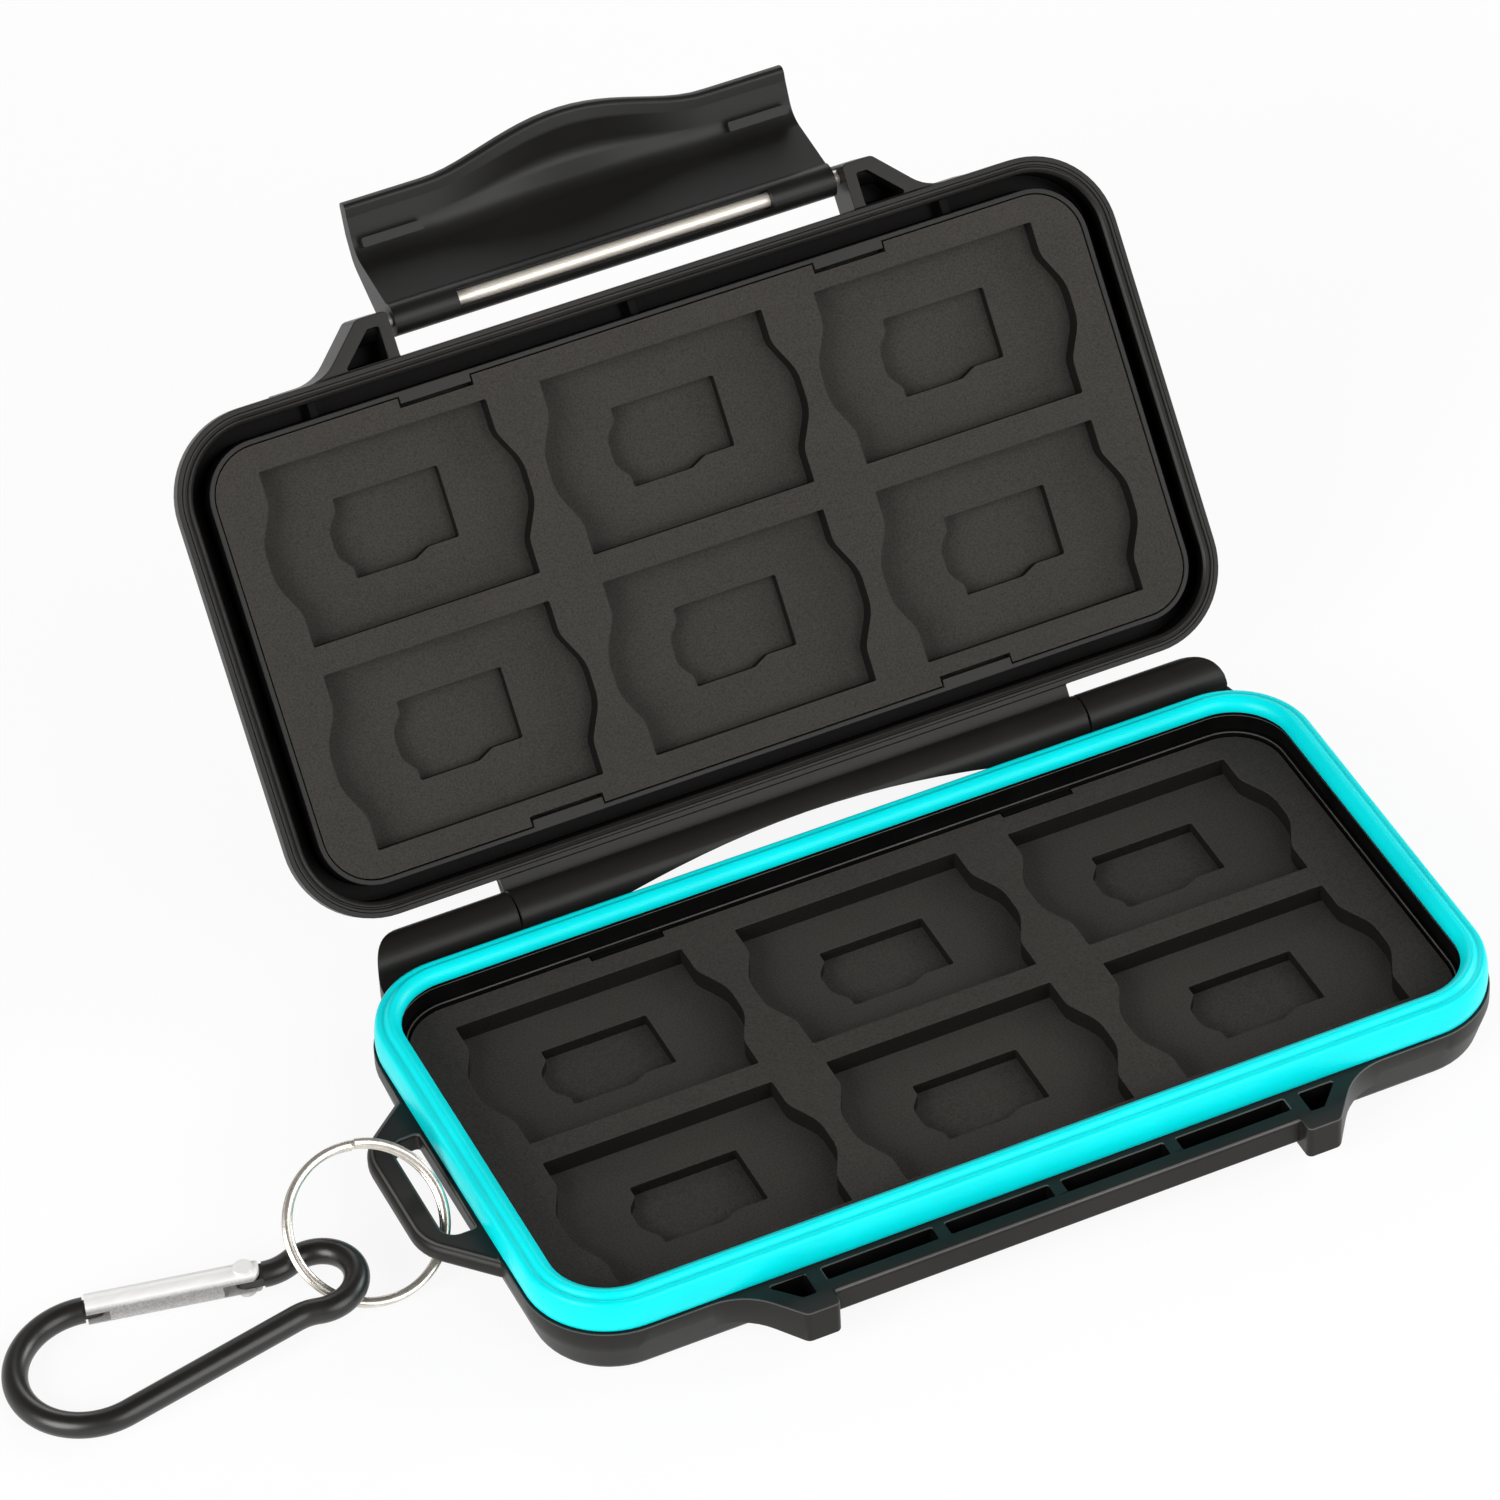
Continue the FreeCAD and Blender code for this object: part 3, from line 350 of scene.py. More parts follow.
pinFinish = {"lines": (900, 4, 0.6), "stretch": (0.05, 1, 1), "stops": (0.3, 0.7),
             "tones": ((0.84, 0.77, 0.67), (0.95, 0.89, 0.80)),
             "rough": (0.40, 0.52), "bump": (0.06, 0.00002), "metallic": 0.55}
ringFinish = {"lines": (700, 4, 0.6), "stretch": (1, 1, 1), "stops": (0.3, 0.7),
              "tones": ((0.62, 0.57, 0.50), (0.84, 0.79, 0.72)),
              "rough": (0.18, 0.30), "bump": (0.06, 0.00002), "metallic": 0.8}


# drawn metal: fine lines along the pins, even specks on the ring
def drawnMetal(name, finish):
    material, tree, shader, place = newFinish(name)
    lines = linesOn(tree, place, finish["stretch"], finish["lines"])
    setTone(tree, shader, lines, finish["stops"], finish["tones"])
    setRoughness(tree, shader, lines, finish["rough"])
    setBump(tree, shader, lines, finish["bump"])
    shader.inputs["Metallic"].default_value = finish["metallic"]
    return material


# painted light and shade: the tones run from a lighter low edge through a dark band to a bright top; half
# is in metres
gateFinish = {"upWay": (0.129, 0.666, 0.734), "half": 0.0028, "stops": (0.10, 0.28, 0.42, 0.53),
              "tones": ((0.60, 0.59, 0.58), (0.36, 0.35, 0.34), (0.36, 0.35, 0.34), (0.93, 0.92, 0.90)),
              "lines": (900, 4, 0.6), "stretch": (0.08, 1, 1),
              "lineStops": (0.3, 0.7), "lineTones": ((0.93, 0.93, 0.93), (1, 1, 1)),
              "grit": (3200, 3, 0.7), "gritLimits": (0.53, 0.42),
              "gritStops": (0.36, 0.60), "gritTones": ((0.70, 0.70, 0.70), (1, 1, 1)),
              "rough": (0.34, 0.46), "bump": (0.08, 0.00002), "metallic": 0.25}


# folded aluminium, painted bright on top and painted dark in a band below it as its light and shade, gritty
# on its under half
def gateAluminium(name, finish):
    material, tree, shader, place = newFinish(name)
    lowCorner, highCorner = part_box("carabiner_gate")
    middle = (Vector(lowCorner) + Vector(highCorner)) / 2
    level = middle.dot(Vector(finish["upWay"]))
    lines = linesOn(tree, place, finish["stretch"], finish["lines"])
    grit = noiseOn(tree, place, finish["grit"])
    height = tree.nodes.new("ShaderNodeVectorMath")
    height.operation = "DOT_PRODUCT"
    height.inputs[1].default_value = finish["upWay"]
    tree.links.new(place, height.inputs[0])
    heightLimits = (level - finish["half"], level + finish["half"])
    across = mapRange(tree, height.outputs["Value"], fromLimits=heightLimits)
    # painted highlight on top and painted shade below it, by height across the gate
    tone = colourRamp(tree, across, finish["stops"], finish["tones"])
    grain = tree.nodes.new("ShaderNodeMix")
    grain.data_type = "RGBA"
    tree.links.new(mapRange(tree, across, fromLimits=finish["gritLimits"]), grain.inputs[0])
    tree.links.new(colourRamp(tree, lines, finish["lineStops"], finish["lineTones"]), grain.inputs[6])
    tree.links.new(colourRamp(tree, grit, finish["gritStops"], finish["gritTones"]), grain.inputs[7])
    blend = tree.nodes.new("ShaderNodeMix")
    blend.data_type = "RGBA"
    blend.blend_type = "MULTIPLY"
    blend.inputs[0].default_value = 1
    tree.links.new(tone, blend.inputs[6])
    tree.links.new(grain.outputs[2], blend.inputs[7])
    tree.links.new(blend.outputs[2], shader.inputs["Base Color"])
    setRoughness(tree, shader, lines, finish["rough"])
    setBump(tree, shader, grit, finish["bump"])
    shader.inputs["Metallic"].default_value = finish["metallic"]
    return material


carabinerFinish = {"patches": (140, 5, 0.6), "stops": (0.3, 0.75),
                   "tones": ((0.0075, 0.0068, 0.0060), (0.0135, 0.0125, 0.0112)),
                   "rough": (0.30, 0.40), "coat": 0.15, "coatRough": 0.25}


# black lacquer over aluminium, with a few dull patches
def blackLacquer(name, finish):
    material, tree, shader, place = newFinish(name)
    patches = noiseOn(tree, place, finish["patches"])
    setTone(tree, shader, patches, finish["stops"], finish["tones"])
    setRoughness(tree, shader, patches, finish["rough"])
    shader.inputs["Coat Weight"].default_value = finish["coat"]
    shader.inputs["Coat Roughness"].default_value = finish["coatRough"]
    return material


shellMaterial = sparkedPlastic("shellPlastic", shellFinish)
latchMaterial = sparkedPlastic("latchPlastic", latchFinish)
edgeHighlightMaterial = sparkedPlastic("edgeHighlightPlastic", edgeHighlightFinish)
deepShadeMaterial = deepShadePlastic("deepShadePlastic", deepShadeFinish)
foamMaterial = foamSheet("foamSheet", foamFinish)
pocketWallShadeMaterial = foamSheet("foamPocketShade", pocketWallShadeFinish)
sealMaterial = sealRubber("sealRubber", sealFinish)
pinMaterial = drawnMetal("drawnSteel", pinFinish)
ringMaterial = drawnMetal("nickelWire", ringFinish)
gateMaterial = gateAluminium("satinAluminium", gateFinish)
carabinerMaterial = blackLacquer("blackLacquer", carabinerFinish)

# the lid's foam, its latch and the cutters of its rim are made shut and then turned open
hinge = {"y": 39.92, "z": 10.53, "openDeg": 129.2}
hingePoint = Vector((0, hinge["y"], hinge["z"])) * mm
lidTurn = (Matrix.Translation(hingePoint) @ Matrix.Rotation(math.radians(-hinge["openDeg"]), 4, "X")
           @ Matrix.Translation(-hingePoint))


def openLid(piece):
    piece.data.transform(lidTurn)
    piece.data.update()


# outline of the case over its rim, and the height of the shut lid's rim
caseOutline = {"halfX": 68.6, "halfY": 34.95, "corner": 12.0, "rimZ": 11.6}


# how far a spot in mm lies inside the outline of the case
def insetOf(spot):
    size = caseOutline
    acrossX = abs(spot.x) - (size["halfX"] - size["corner"])
    acrossY = abs(spot.y) - (size["halfY"] - size["corner"])
    if acrossX > 0 and acrossY > 0:
        return size["corner"] - math.hypot(acrossX, acrossY)
    return size["corner"] - max(acrossX, acrossY)


# a section of (inset, height) points, swept round the case
def sweepRound(name, section, steps):
    size = caseOutline
    rings = []
    for inset, height in section:
        corners = centredBox(size["halfX"] - inset, size["halfY"] - inset, size["corner"] - inset)
        rings.append([(spot.x, spot.y, height) for spot in roundedPoints(corners, steps)])
    return loftSections(name, list(zip(*rings)), ringShape=True)


print("shells")
shellSettings = {"sewn": 0.0015, "flatAngle": 0.4, "edge": 0.14, "edgeAngle": 32, "shadeAngle": 40,
                 "lineSteps": 14, "linePast": 0.1}


# the moulded halves follow the solid models, sewn and with every sharp edge eased
def easedCopy(nodeName, pieceName):
    shell = shellSettings
    piece = bpy.data.objects.new(pieceName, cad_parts[nodeName].data.copy())
    bpy.context.scene.collection.objects.link(piece)
    makeActive(piece)
    bpy.ops.object.mode_set(mode="EDIT")
    bpy.ops.mesh.select_all(action="SELECT")
    bpy.ops.mesh.remove_doubles(threshold=shell["sewn"] * mm)
    bpy.ops.mesh.dissolve_limited(angle_limit=math.radians(shell["flatAngle"]))
    bpy.ops.object.mode_set(mode="OBJECT")
    roundEdges(piece, shell["edge"], shell["edgeAngle"], shell["shadeAngle"], clamp=False)
    return piece


def between(value, limits):
    return limits[0] < value < limits[1]


# the tray, the cells in the front beam and its lugs, and the line round the wall under the seal
baseSettings = {"trayInset": 3.45, "trayLow": 1.0, "cellY": (-41.2, -35.15), "cellZ": (4.7, 8.38),
                "cellReach": 46, "beamEnd": 33, "beamFront": -38.9, "lugInner": 34.9, "lugOuter": 41.6,
                "lugSlope": 0.9, "lugFront": -39.3,
                "lineInset": 3.6, "lineZ": 11.05, "lineHalf": 0.10, "lineDeep": 0.20}


def inCell(spot):
    base = baseSettings
    if abs(spot.x) <= base["beamEnd"]:
        return spot.y > base["beamFront"]
    lugOuter = base["lugOuter"] + base["lugSlope"] * (spot.y - base["cellY"][1])
    return between(abs(spot.x), (base["lugInner"], lugOuter)) and spot.y > base["lugFront"]


def deepInBase(spot):
    base = baseSettings
    if insetOf(spot) > base["trayInset"] and spot.z > base["trayLow"]:
        return True
    inFront = between(spot.y, base["cellY"]) and between(spot.z, base["cellZ"])
    return inFront and abs(spot.x) < base["cellReach"] and inCell(spot)


# the seal's channel, the insides of the latch ears, and the two lines on the rim
lidSettings = {"channelInset": (2.15, 4.4), "channelLow": 12.1, "earFront": -35.05, "earZ": (12.2, 18.4),
               "earX": (34.9, 42.0), "lineInsets": (0.72, 1.32), "lineHalf": 0.09, "lineDeep": 0.22}


def deepInLid(spot):
    lid = lidSettings
    if between(insetOf(spot), lid["channelInset"]) and spot.z > lid["channelLow"]:
        return True
    return spot.y < lid["earFront"] and between(spot.z, lid["earZ"]) and between(abs(spot.x), lid["earX"])


# painted highlights: pale faces along the ledge round the tray, the wall under the seal, the shoulder with
# its lugs, where those edges catch the light
highlightEdges = {"up": (0.25, 0.97), "ledgeZ": (8.5, 9.2), "ledgeInset": 4.2, "wallZ": (10.8, 11.3),
               "wallInset": 3, "shoulderZ": (8.3, 8.5), "shoulderInset": 0.35, "shoulderBack": 30,
               "cellFront": -35.6}


def isHighlightEdge(spot, inset, upShare):
    paintedEdge = highlightEdges
    onLedge = between(spot.z, paintedEdge["ledgeZ"]) and inset > paintedEdge["ledgeInset"]
    onWall = between(spot.z, paintedEdge["wallZ"]) and inset > paintedEdge["wallInset"]
    onShoulder = between(spot.z, paintedEdge["shoulderZ"]) and inset < paintedEdge["shoulderInset"]
    aroundCell = spot.y < paintedEdge["cellFront"] and inCell(spot)
    onShoulder = onShoulder and spot.y < paintedEdge["shoulderBack"] and not aroundCell
    return between(upShare, paintedEdge["up"]) and (onLedge or onWall or onShoulder)


# a wide face can have a deep middle and shallow corners, so the corners count too
def finishFaces(piece, isDeep, turnShut):
    piece.data.materials.append(deepShadeMaterial)
    piece.data.materials.append(edgeHighlightMaterial)
    for face in piece.data.polygons:
        spot = (turnShut @ face.center) / mm
        corners = [(turnShut @ piece.data.vertices[index].co) / mm for index in face.vertices]
        upShare = (turnShut.to_3x3() @ face.normal).z
        deepCount = sum(isDeep(corner) for corner in corners)
        # faces on the lit edges get the painted highlight
        if isHighlightEdge(spot, insetOf(corners[0]), upShare):
            face.material_index = 2
        # faces deep in the case get the painted shade
        elif deepCount == len(corners) or (isDeep(spot) and 2 * deepCount >= len(corners)):
            face.material_index = 1


baseShell = easedCopy("base_shell", "baseShell")
wallFace = baseSettings["lineInset"] + shellSettings["linePast"]
wallDeep = baseSettings["lineInset"] - baseSettings["lineDeep"]
lineLow = baseSettings["lineZ"] - baseSettings["lineHalf"]
lineHigh = baseSettings["lineZ"] + baseSettings["lineHalf"]
lineSection = [(wallFace, lineLow), (wallFace, lineHigh), (wallDeep, lineHigh)]
cutOrAdd(baseShell, sweepRound("wallLineCutter", lineSection, shellSettings["lineSteps"]), "DIFFERENCE")
shadeByAngle(baseShell, shellSettings["shadeAngle"])
placePiece(baseShell, "base", "base_shell", shellMaterial)
finishFaces(baseShell, deepInBase, Matrix.Identity(4))

lidShell = easedCopy("lid_shell", "lidShell")
rimFace = caseOutline["rimZ"] - shellSettings["linePast"]
rimDeep = caseOutline["rimZ"] + lidSettings["lineDeep"]
for inset in lidSettings["lineInsets"]:
    lineSection = [(inset - lidSettings["lineHalf"], rimFace), (inset + lidSettings["lineHalf"], rimFace),
                   (inset, rimDeep)]
    rimCutter = sweepRound("rimLineCutter", lineSection, shellSettings["lineSteps"])
    openLid(rimCutter)
    cutOrAdd(lidShell, rimCutter, "DIFFERENCE")
shadeByAngle(lidShell, shellSettings["shadeAngle"])
placePiece(lidShell, "lid", "lid_shell", shellMaterial)
finishFaces(lidShell, deepInLid, lidTurn.inverted())

print("seal")
sealSettings = {"cornerSteps": 16, "shadeAngle": 50}
# section of the seal from its foot outwards and over the lip: inset from the case outline, height
sealSection = [(2.77, 8.53), (0.80, 8.53), (0.50, 8.62), (0.36, 8.9), (0.27, 9.6), (0.24, 10.4),
               (0.28, 11.2), (0.36, 11.8), (0.44, 12.25), (0.52, 12.65), (0.66, 12.98), (0.90, 13.19),
               (1.15, 13.27), (1.38, 13.25), (1.55, 13.17), (1.72, 13.20), (1.92, 13.42), (2.20, 13.72),
               (2.45, 13.84), (2.72, 13.83), (3.05, 13.72), (3.38, 13.53), (3.66, 13.26), (3.86, 12.9),
               (3.94, 12.5), (3.94, 12.05), (3.86, 11.85), (3.68, 11.85), (3.62, 12.05), (3.62, 12.43),
               (2.77, 12.43)]
seal = sweepRound("sealGasket", sealSection, sealSettings["cornerSteps"])
makeActive(seal)
bpy.ops.object.shade_smooth_by_angle(angle=math.radians(sealSettings["shadeAngle"]))
placePiece(seal, "base", "seal_gasket", sealMaterial)
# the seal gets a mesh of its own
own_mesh(seal)

print("foam")
foamSettings = {"pitchX": 40.36, "pitchY": 28.08, "cornerSteps": 10, "pocketSteps": 8, "cutPast": 1,
                "notchX": 30.3, "notchHalf": 5.3, "notchFar": 32, "edge": 0.1, "edgeAngle": 40,
                "cutSlope": 0.3}
cardSettings = {"halfX": 16.3, "halfY": 12.1, "corner": 0.25, "bulge": 2.4, "footY": 7.4,
                "footRound": 3.6, "waveY": 2.7, "waveRound": 6.5}


# a card's pocket has a finger wave at each end
def cardPocket(flip):
    card = cardSettings
    endX = card["halfX"]
    waveX = endX + card["bulge"]
    right = [(endX, -card["halfY"], card["corner"]), (endX, -card["footY"], card["footRound"]),
             (waveX, -card["waveY"], card["waveRound"]), (waveX, card["waveY"], card["waveRound"]),
             (endX, card["footY"], card["footRound"]), (endX, card["halfY"], card["corner"])]
    left = [(-x, -y, radius) for x, y, radius in right]
    return [(x, flip * y, radius) for x, y, radius in right + left]


# a micro card's pocket has the card's own step, and one finger wave
def microPocket(flip):
    corners = [(8.0, -4.25, 0.3), (8.0, 5.6, 0.3), (-7.1, 5.6, 0.3), (-7.1, 3.9, 0.8), (-8.8, 1.9, 2.4),
               (-8.8, -1.8, 2.4), (-7.1, -3.9, 0.8), (-7.1, -5.35, 0.3), (1.4, -5.35, 1.0),
               (3.6, -4.25, 1.0)]
    return [(x, flip * y, radius) for x, y, radius in corners]


# one sheet, its six pockets punched through, its rim notched, the cut edges a little soft
def foamPiece(name, tray, low, high, pocket=None, notched=False):
    foam = foamSettings
    outline = centredBox(tray["halfX"], tray["halfY"], tray["corner"])
    sheet = plateFromOutline(name, roundedPoints(outline, foam["cornerSteps"]), low, high)
    cutLow = low - foam["cutPast"]
    cutHigh = high + foam["cutPast"]
    cutters = []
    if pocket:
        for column in (-1, 0, 1):
            for row in (-0.5, 0.5):
                shift = Vector((column * foam["pitchX"], row * foam["pitchY"]))
                spots = [spot + shift for spot in roundedPoints(pocket, foam["pocketSteps"])]
                cutters.append(plateFromOutline("pocketCutter", spots, cutLow, cutHigh))
    if notched:
        for side in (-1, 1):
            for row in (-1, 1):
                lowX = side * foam["notchX"] - foam["notchHalf"]
                highX = side * foam["notchX"] + foam["notchHalf"]
                corners = boxCorners(lowX, highX, row * tray["notchNear"], row * foam["notchFar"], 0)
                cutters.append(plateFromOutline("notchCutter", roundedPoints(corners), cutLow, cutHigh))
    if cutters:
        cutOrAdd(sheet, joinPieces(cutters), "DIFFERENCE")
    roundEdges(sheet, foam["edge"], foam["edgeAngle"])
    return sheet


# walls of the punched pockets are cut faces, painted much darker than the skin of the sheet as the shade in
# the pockets
def placeFoam(sheet, body, node, upWay):
    placePiece(sheet, body, node, foamMaterial)
    sheet.data.materials.append(pocketWallShadeMaterial)
    for face in sheet.data.polygons:
        if abs(face.normal.dot(upWay)) < foamSettings["cutSlope"]:
            face.material_index = 1


baseFoam = {"halfX": 63.9, "halfY": 30.25, "corner": 7.3, "notchNear": 29.3,
            "top": 8.2, "card": 2.9, "micro": 1.8, "backing": 0.5}
cardLow = baseFoam["top"] - baseFoam["card"]
microLow = cardLow - baseFoam["micro"]
backingLow = microLow - baseFoam["backing"]
baseCardFoam = foamPiece("baseCardFoam", baseFoam, cardLow, baseFoam["top"], cardPocket(1), notched=True)
baseMicroFoam = foamPiece("baseMicroFoam", baseFoam, microLow, cardLow, microPocket(1))
baseBackingFoam = foamPiece("baseBackingFoam", baseFoam, backingLow, microLow)
baseUp = Vector((0, 0, 1))
placeFoam(baseCardFoam, "base", "base_card_foam", baseUp)
placeFoam(baseMicroFoam, "base", "base_micro_foam", baseUp)
placeFoam(baseBackingFoam, "base", "base_backing_foam", baseUp)

lidFoam = {"halfX": 63.4, "halfY": 29.75, "corner": 6.8, "notchNear": 28.4,
           "low": 11.7, "card": 2.9, "micro": 1.8, "back": 18.2}
lidMicroLow = lidFoam["low"] + lidFoam["card"]
lidBackingLow = lidMicroLow + lidFoam["micro"]
lidCardFoam = foamPiece("lidCardFoam", lidFoam, lidFoam["low"], lidMicroLow, cardPocket(-1), notched=True)
lidMicroFoam = foamPiece("lidMicroFoam", lidFoam, lidMicroLow, lidBackingLow, microPocket(-1))
lidBackingFoam = foamPiece("lidBackingFoam", lidFoam, lidBackingLow, lidFoam["back"])
lidUp = lidTurn.to_3x3() @ baseUp
for sheet in (lidCardFoam, lidMicroFoam, lidBackingFoam):
    openLid(sheet)
placeFoam(lidCardFoam, "lid", "lid_card_foam", lidUp)
placeFoam(lidMicroFoam, "lid", "lid_micro_foam", lidUp)
placeFoam(lidBackingFoam, "lid", "lid_backing_foam", lidUp)

print("latch")
# the bulge pushes the middle of the tip outwards and dishes the flap behind it
latchSettings = {"half": 32.3, "pinY": -39.8, "pinZ": 15.4, "barrel": 2.35, "bore": 1.05, "boreLong": 80,
                 "boreSides": 40, "root": (2.27, -0.3), "rootDeg": 352.5, "back": (-1.8, 1.5),
                 "heel": (0.6, 5.4), "knee": (9.6, 7.0), "fall": 0.3036, "tip": (16.2, 4.8), "hollow": 4.2,
                 "lip": 1.7, "bulge": 3.7, "bulgeHalf": 20.5, "bulgeWay": (0.94, -0.5), "dish": 7.5,
                 "dishBack": 1.5, "dishLip": 0.4, "sectionSteps": 6, "windowHalf": 23.0, "window": 1.3,
                 "windowFloor": 0.6, "windowSteps": 4, "openParts": 24, "openShare": 0.9998, "beside": 27.5,
                 "edge": 0.12, "edgeAngle": 40, "shadeAngle": 35}


# section of the flap at one place along the pin, as offsets outwards and upwards from the pin
def flapPoints(x):
    flap = latchSettings
    share = (1 - min(abs(x) / flap["bulgeHalf"], 1.0) ** 2) ** 2
    grow = flap["bulge"] * share
    tipOut = flap["tip"][0] + flap["bulgeWay"][0] * grow
    tipUp = flap["tip"][1] + flap["bulgeWay"][1] * grow
    kneeOut, kneeUp = flap["knee"]
    hollowOut = tipOut - flap["hollow"] - flap["dishBack"] * share
    hollowUp = (kneeUp - flap["fall"] * (hollowOut - kneeOut)) * (1 - share) + flap["dish"] * share
    lipOut = tipOut - flap["lip"] - flap["dishLip"] * share
    corners = [(*flap["root"], 0), (kneeOut, kneeUp, 3.6), (hollowOut, hollowUp, 2.4),
               (lipOut, tipUp + 0.75, 1.3), (tipOut + 0.1, tipUp, 0.75), (tipOut + 0.7, tipUp + 2.0, 0.8),
               (hollowOut + 0.4, hollowUp + 2.3, 2.4), (kneeOut - 1.2, kneeUp + 2.1, 4.0),
               (*flap["heel"], 0.8), (*flap["back"], 0)]
    return [(spot.x, spot.y) for spot in roundedPoints(corners, flap["sectionSteps"])]


def barrelPoint(turn):
    return latchSettings["barrel"] * math.cos(turn), latchSettings["barrel"] * math.sin(turn)


# the barrel closes the section, and where it is opened a window shows the pin
def latchSection(x, opened):
    flap = latchSettings
    side = flap["window"]
    floor = flap["windowFloor"]
    edgeTurn = math.acos(side / flap["barrel"])
    low = -flap["barrel"] * math.sin(edgeTurn)
    first = math.atan2(flap["back"][1], flap["back"][0])
    last = math.radians(flap["rootDeg"])
    windowFrom = math.pi + edgeTurn
    windowTo = 2 * math.pi - edgeTurn
    steps = flap["sectionSteps"]
    rises = flap["windowSteps"]
    points = flapPoints(x)
    points += [barrelPoint(first + (windowFrom - first) * k / steps) for k in range(1, steps + 1)]
    window = [(-side, low + (floor - low) * k / rises) for k in range(1, rises + 1)] + [(0, floor)]
    window += [(side, floor - (floor - low) * k / rises) for k in range(rises)]
    if not opened:
        parts = len(window) + 1
        window = [barrelPoint(windowFrom + (windowTo - windowFrom) * k / parts) for k in range(1, parts)]
    points += window
    points += [barrelPoint(windowTo + (last - windowTo) * k / steps) for k in range(steps)]
    return [(x, flap["pinY"] - out, flap["pinZ"] + up) for out, up in points]


closedPlaces = [latchSettings["half"], latchSettings["beside"], latchSettings["windowHalf"]]
openReach = latchSettings["windowHalf"] * latchSettings["openShare"]
latchSections = [latchSection(-x, False) for x in closedPlaces]
for k in range(latchSettings["openParts"] + 1):
    latchSections.append(latchSection(openReach * (2 * k / latchSettings["openParts"] - 1), True))
latchSections += [latchSection(x, False) for x in reversed(closedPlaces)]
latch = loftSections("latchFlap", latchSections)
deselectAll()
bpy.ops.mesh.primitive_cylinder_add(vertices=latchSettings["boreSides"], radius=latchSettings["bore"] * mm,
                                    depth=latchSettings["boreLong"] * mm, rotation=(0, math.pi / 2, 0),
                                    location=(0, latchSettings["pinY"] * mm, latchSettings["pinZ"] * mm))
cutOrAdd(latch, bpy.context.object, "DIFFERENCE")

# a short rail at each end of the flap catches the lugs of the base
railSettings = {"inner": 22.5, "outer": 31.3, "near": 10.1, "far": 11.4, "low": 5.2, "high": 8.2,
                "corner": 0.25, "cornerSteps": 4}
nearY = latchSettings["pinY"] - railSettings["near"]
farY = latchSettings["pinY"] - railSettings["far"]
railLow = latchSettings["pinZ"] + railSettings["low"]
railHigh = latchSettings["pinZ"] + railSettings["high"]
for side in (-1, 1):
    lowX, highX = sorted((side * railSettings["inner"], side * railSettings["outer"]))
    corners = boxCorners(lowX, highX, farY, nearY, railSettings["corner"])
    points = roundedPoints(corners, railSettings["cornerSteps"])
    cutOrAdd(latch, plateFromOutline("latchRail", points, railLow, railHigh), "UNION")
roundEdges(latch, latchSettings["edge"], latchSettings["edgeAngle"], latchSettings["shadeAngle"])
openLid(latch)
placePiece(latch, "latch_flap", "latch", latchMaterial)

print("hard parts from the solid models")
hardFinishes = {
    "latch_pin": pinMaterial, "hinge_pin_left": pinMaterial, "hinge_pin_right": pinMaterial,
    "split_ring": ringMaterial, "carabiner_body": carabinerMaterial, "carabiner_gate": gateMaterial,
    "gate_rivet": gateMaterial, "gate_spring": pinMaterial,
}
for node, material in hardFinishes.items():
    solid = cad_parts[node]
    solid.data.materials.clear()
    solid.data.materials.append(material)

print("stage")
white = (1, 1, 1, 1)
floorSettings = {"size": 6.0, "colour": (0.94, 0.94, 0.94, 1), "shadowShare": 0.90}


# a pale floor that mostly glows to the camera and in reflections, so its shadows stay light
def paleFloor(name, settings):
    material = bpy.data.materials.new(name)
    material.use_nodes = True
    tree = material.node_tree
    tree.nodes.remove(tree.nodes["Principled BSDF"])
    diffuse = addNode(tree, "ShaderNodeBsdfDiffuse", Color=settings["colour"])
    glow = addNode(tree, "ShaderNodeEmission", Color=white, Strength=1.0)
    path = tree.nodes.new("ShaderNodeLightPath")
    seen = tree.nodes.new("ShaderNodeMath")
    seen.operation = "MAXIMUM"
    tree.links.new(path.outputs["Is Camera Ray"], seen.inputs[0])
    tree.links.new(path.outputs["Is Glossy Ray"], seen.inputs[1])
    share = tree.nodes.new("ShaderNodeMath")
    share.operation = "MULTIPLY"
    share.inputs[1].default_value = settings["shadowShare"]
    tree.links.new(seen.outputs[0], share.inputs[0])
    mixed = tree.nodes.new("ShaderNodeMixShader")
    tree.links.new(share.outputs[0], mixed.inputs["Fac"])
    tree.links.new(diffuse.outputs[0], mixed.inputs[1])
    tree.links.new(glow.outputs[0], mixed.inputs[2])
    tree.links.new(mixed.outputs[0], tree.nodes["Material Output"].inputs["Surface"])
    return material


deselectAll()
bpy.ops.mesh.primitive_plane_add(size=floorSettings["size"], location=(0, 0, 0))
floor = bpy.context.object
floor.name = "floor"
floor.data.materials.append(paleFloor("paleFloor", floorSettings))

skySettings = {"heights": (0.15, 0.80), "strengths": (0.50, 0.06)}


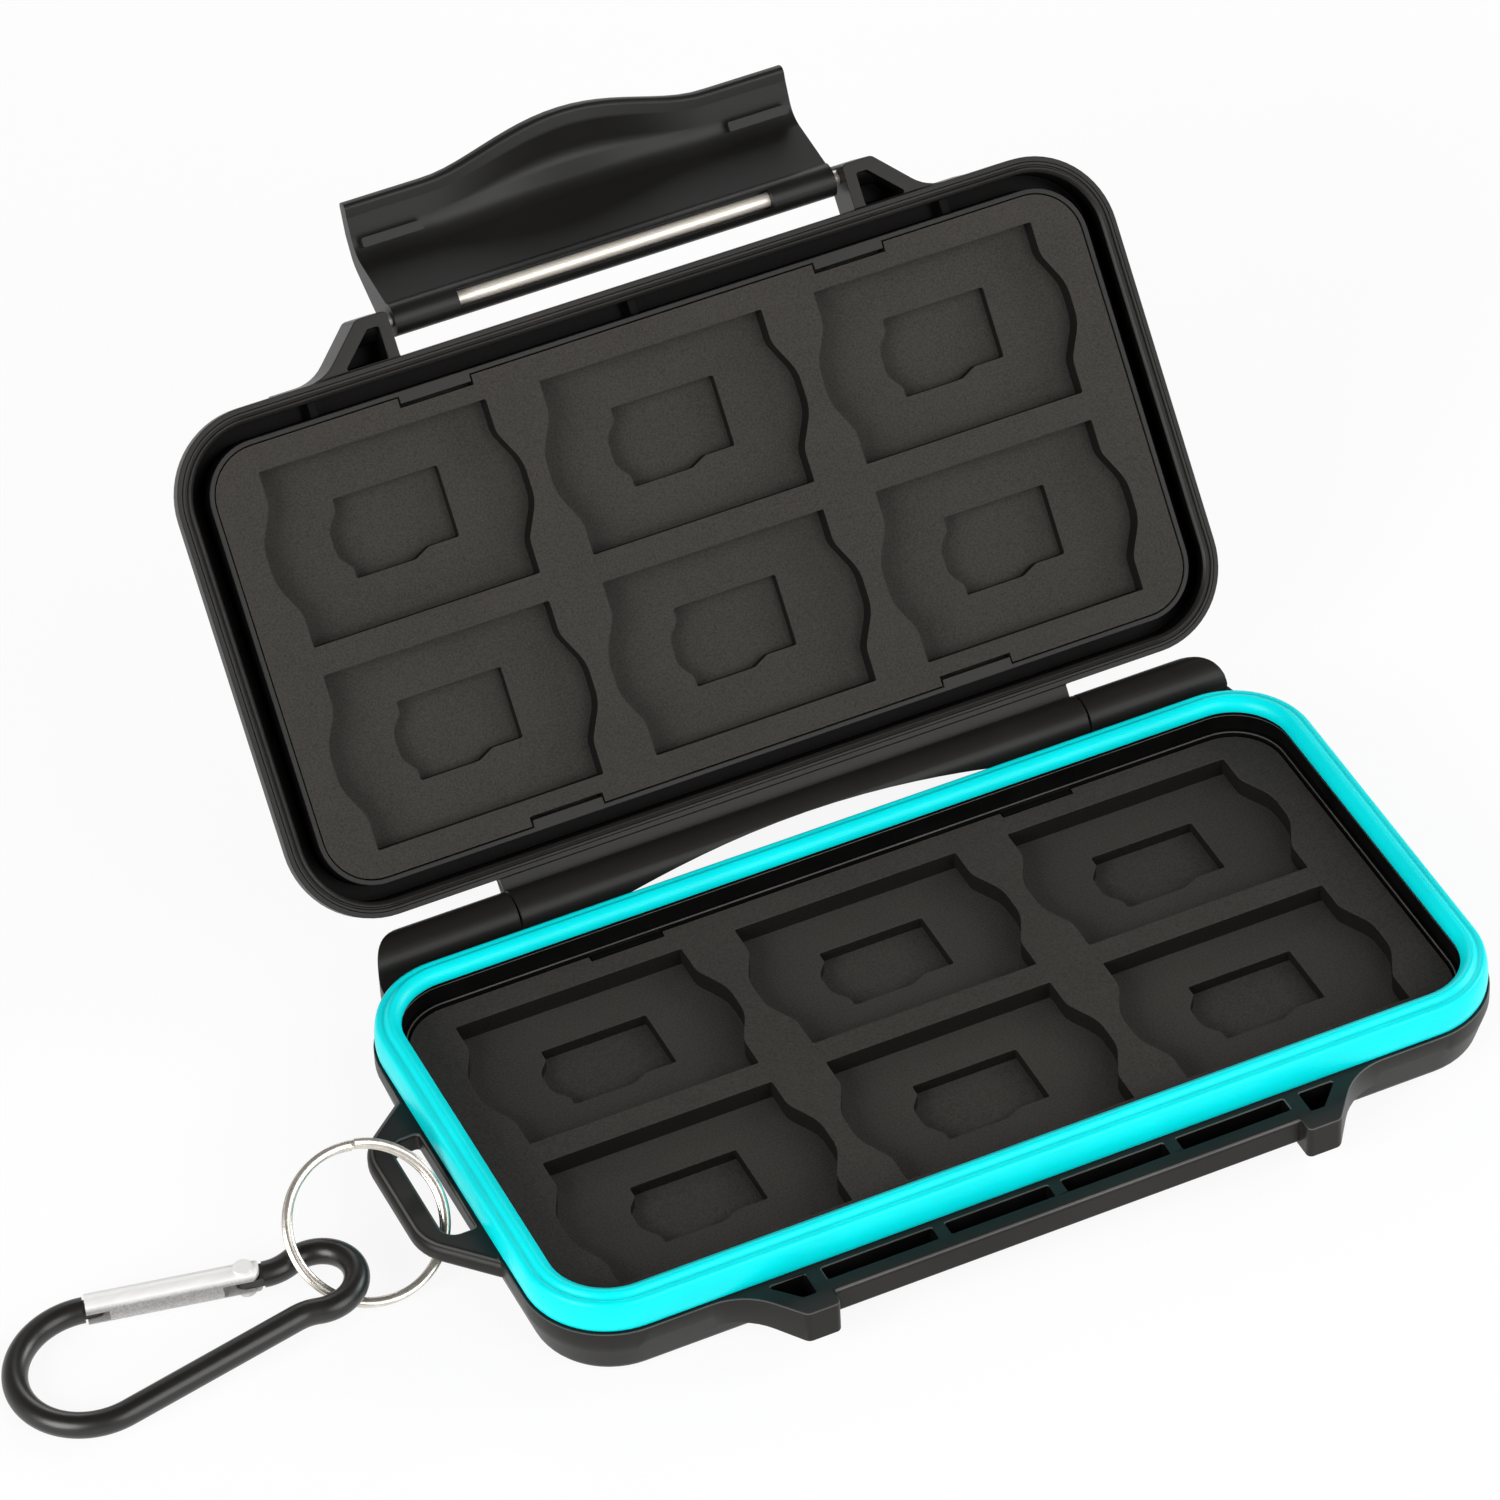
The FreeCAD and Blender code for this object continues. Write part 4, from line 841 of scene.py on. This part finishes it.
# white to the camera; as light it is brighter near the horizon than overhead
def studioSky(name, settings):
    sky = bpy.data.worlds.new(name)
    sky.use_nodes = True
    tree = sky.node_tree
    path = tree.nodes.new("ShaderNodeLightPath")
    way = tree.nodes.new("ShaderNodeTexCoord")
    parts = tree.nodes.new("ShaderNodeSeparateXYZ")
    tree.links.new(way.outputs["Generated"], parts.inputs["Vector"])
    light = tree.nodes["Background"]
    light.inputs["Color"].default_value = white
    fade = mapRange(tree, parts.outputs["Z"], settings["heights"], settings["strengths"])
    tree.links.new(fade, light.inputs["Strength"])
    backdrop = addNode(tree, "ShaderNodeBackground", Color=white, Strength=1.0)
    mixed = tree.nodes.new("ShaderNodeMixShader")
    tree.links.new(path.outputs["Is Camera Ray"], mixed.inputs["Fac"])
    tree.links.new(light.outputs[0], mixed.inputs[1])
    tree.links.new(backdrop.outputs[0], mixed.inputs[2])
    tree.links.new(mixed.outputs[0], tree.nodes["World Output"].inputs["Surface"])
    return sky


bpy.context.scene.world = studioSky("studio", skySettings)

# places and sizes of the lamps are in metres
lampTarget = Vector((0, 0.02, 0.03))
lampSettings = {
    "frontRight": {"place": (0.42, -1.10, 0.74), "size": 1.1, "power": 10.0},
    "left": {"place": (-1.15, -0.45, 0.60), "size": 0.9, "power": 16.0},
    "right": {"place": (1.25, -0.15, 0.55), "size": 0.8, "power": 10.0},
    "back": {"place": (0.50, 1.40, 0.95), "size": 0.8, "power": 5.0},
}
for name, lamp in lampSettings.items():
    bpy.ops.object.light_add(type="AREA", location=lamp["place"])
    light = bpy.context.object
    light.name = name + "Lamp"
    light.data.shape = "DISK"
    light.data.size = lamp["size"]
    light.data.energy = lamp["power"]
    light.rotation_euler = (lampTarget - Vector(lamp["place"])).to_track_quat("-Z", "Y").to_euler()

print("camera")
cameraSettings = {"place": (-303.22, -653.61, 706.62), "lens": 184.15, "sensor": 36, "nearest": 10,
                  "forward": (0.29159, 0.68233, -0.67037), "down": (-0.31020, -0.59549, -0.74105)}
cameraData = bpy.data.cameras.new("photoCamera")
cameraData.sensor_width = cameraSettings["sensor"]
cameraData.lens = cameraSettings["lens"]
cameraData.clip_start = cameraSettings["nearest"] * mm
camera = bpy.data.objects.new("photoCamera", cameraData)
bpy.context.scene.collection.objects.link(camera)
forward = Vector(cameraSettings["forward"]).normalized()
right = forward.cross(-Vector(cameraSettings["down"])).normalized()
turn = Matrix((right, right.cross(forward), -forward)).transposed().to_4x4()
camera.matrix_world = Matrix.Translation(Vector(cameraSettings["place"]) * mm) @ turn
bpy.context.scene.camera = camera
bpy.context.scene.view_settings.view_transform = "Standard"
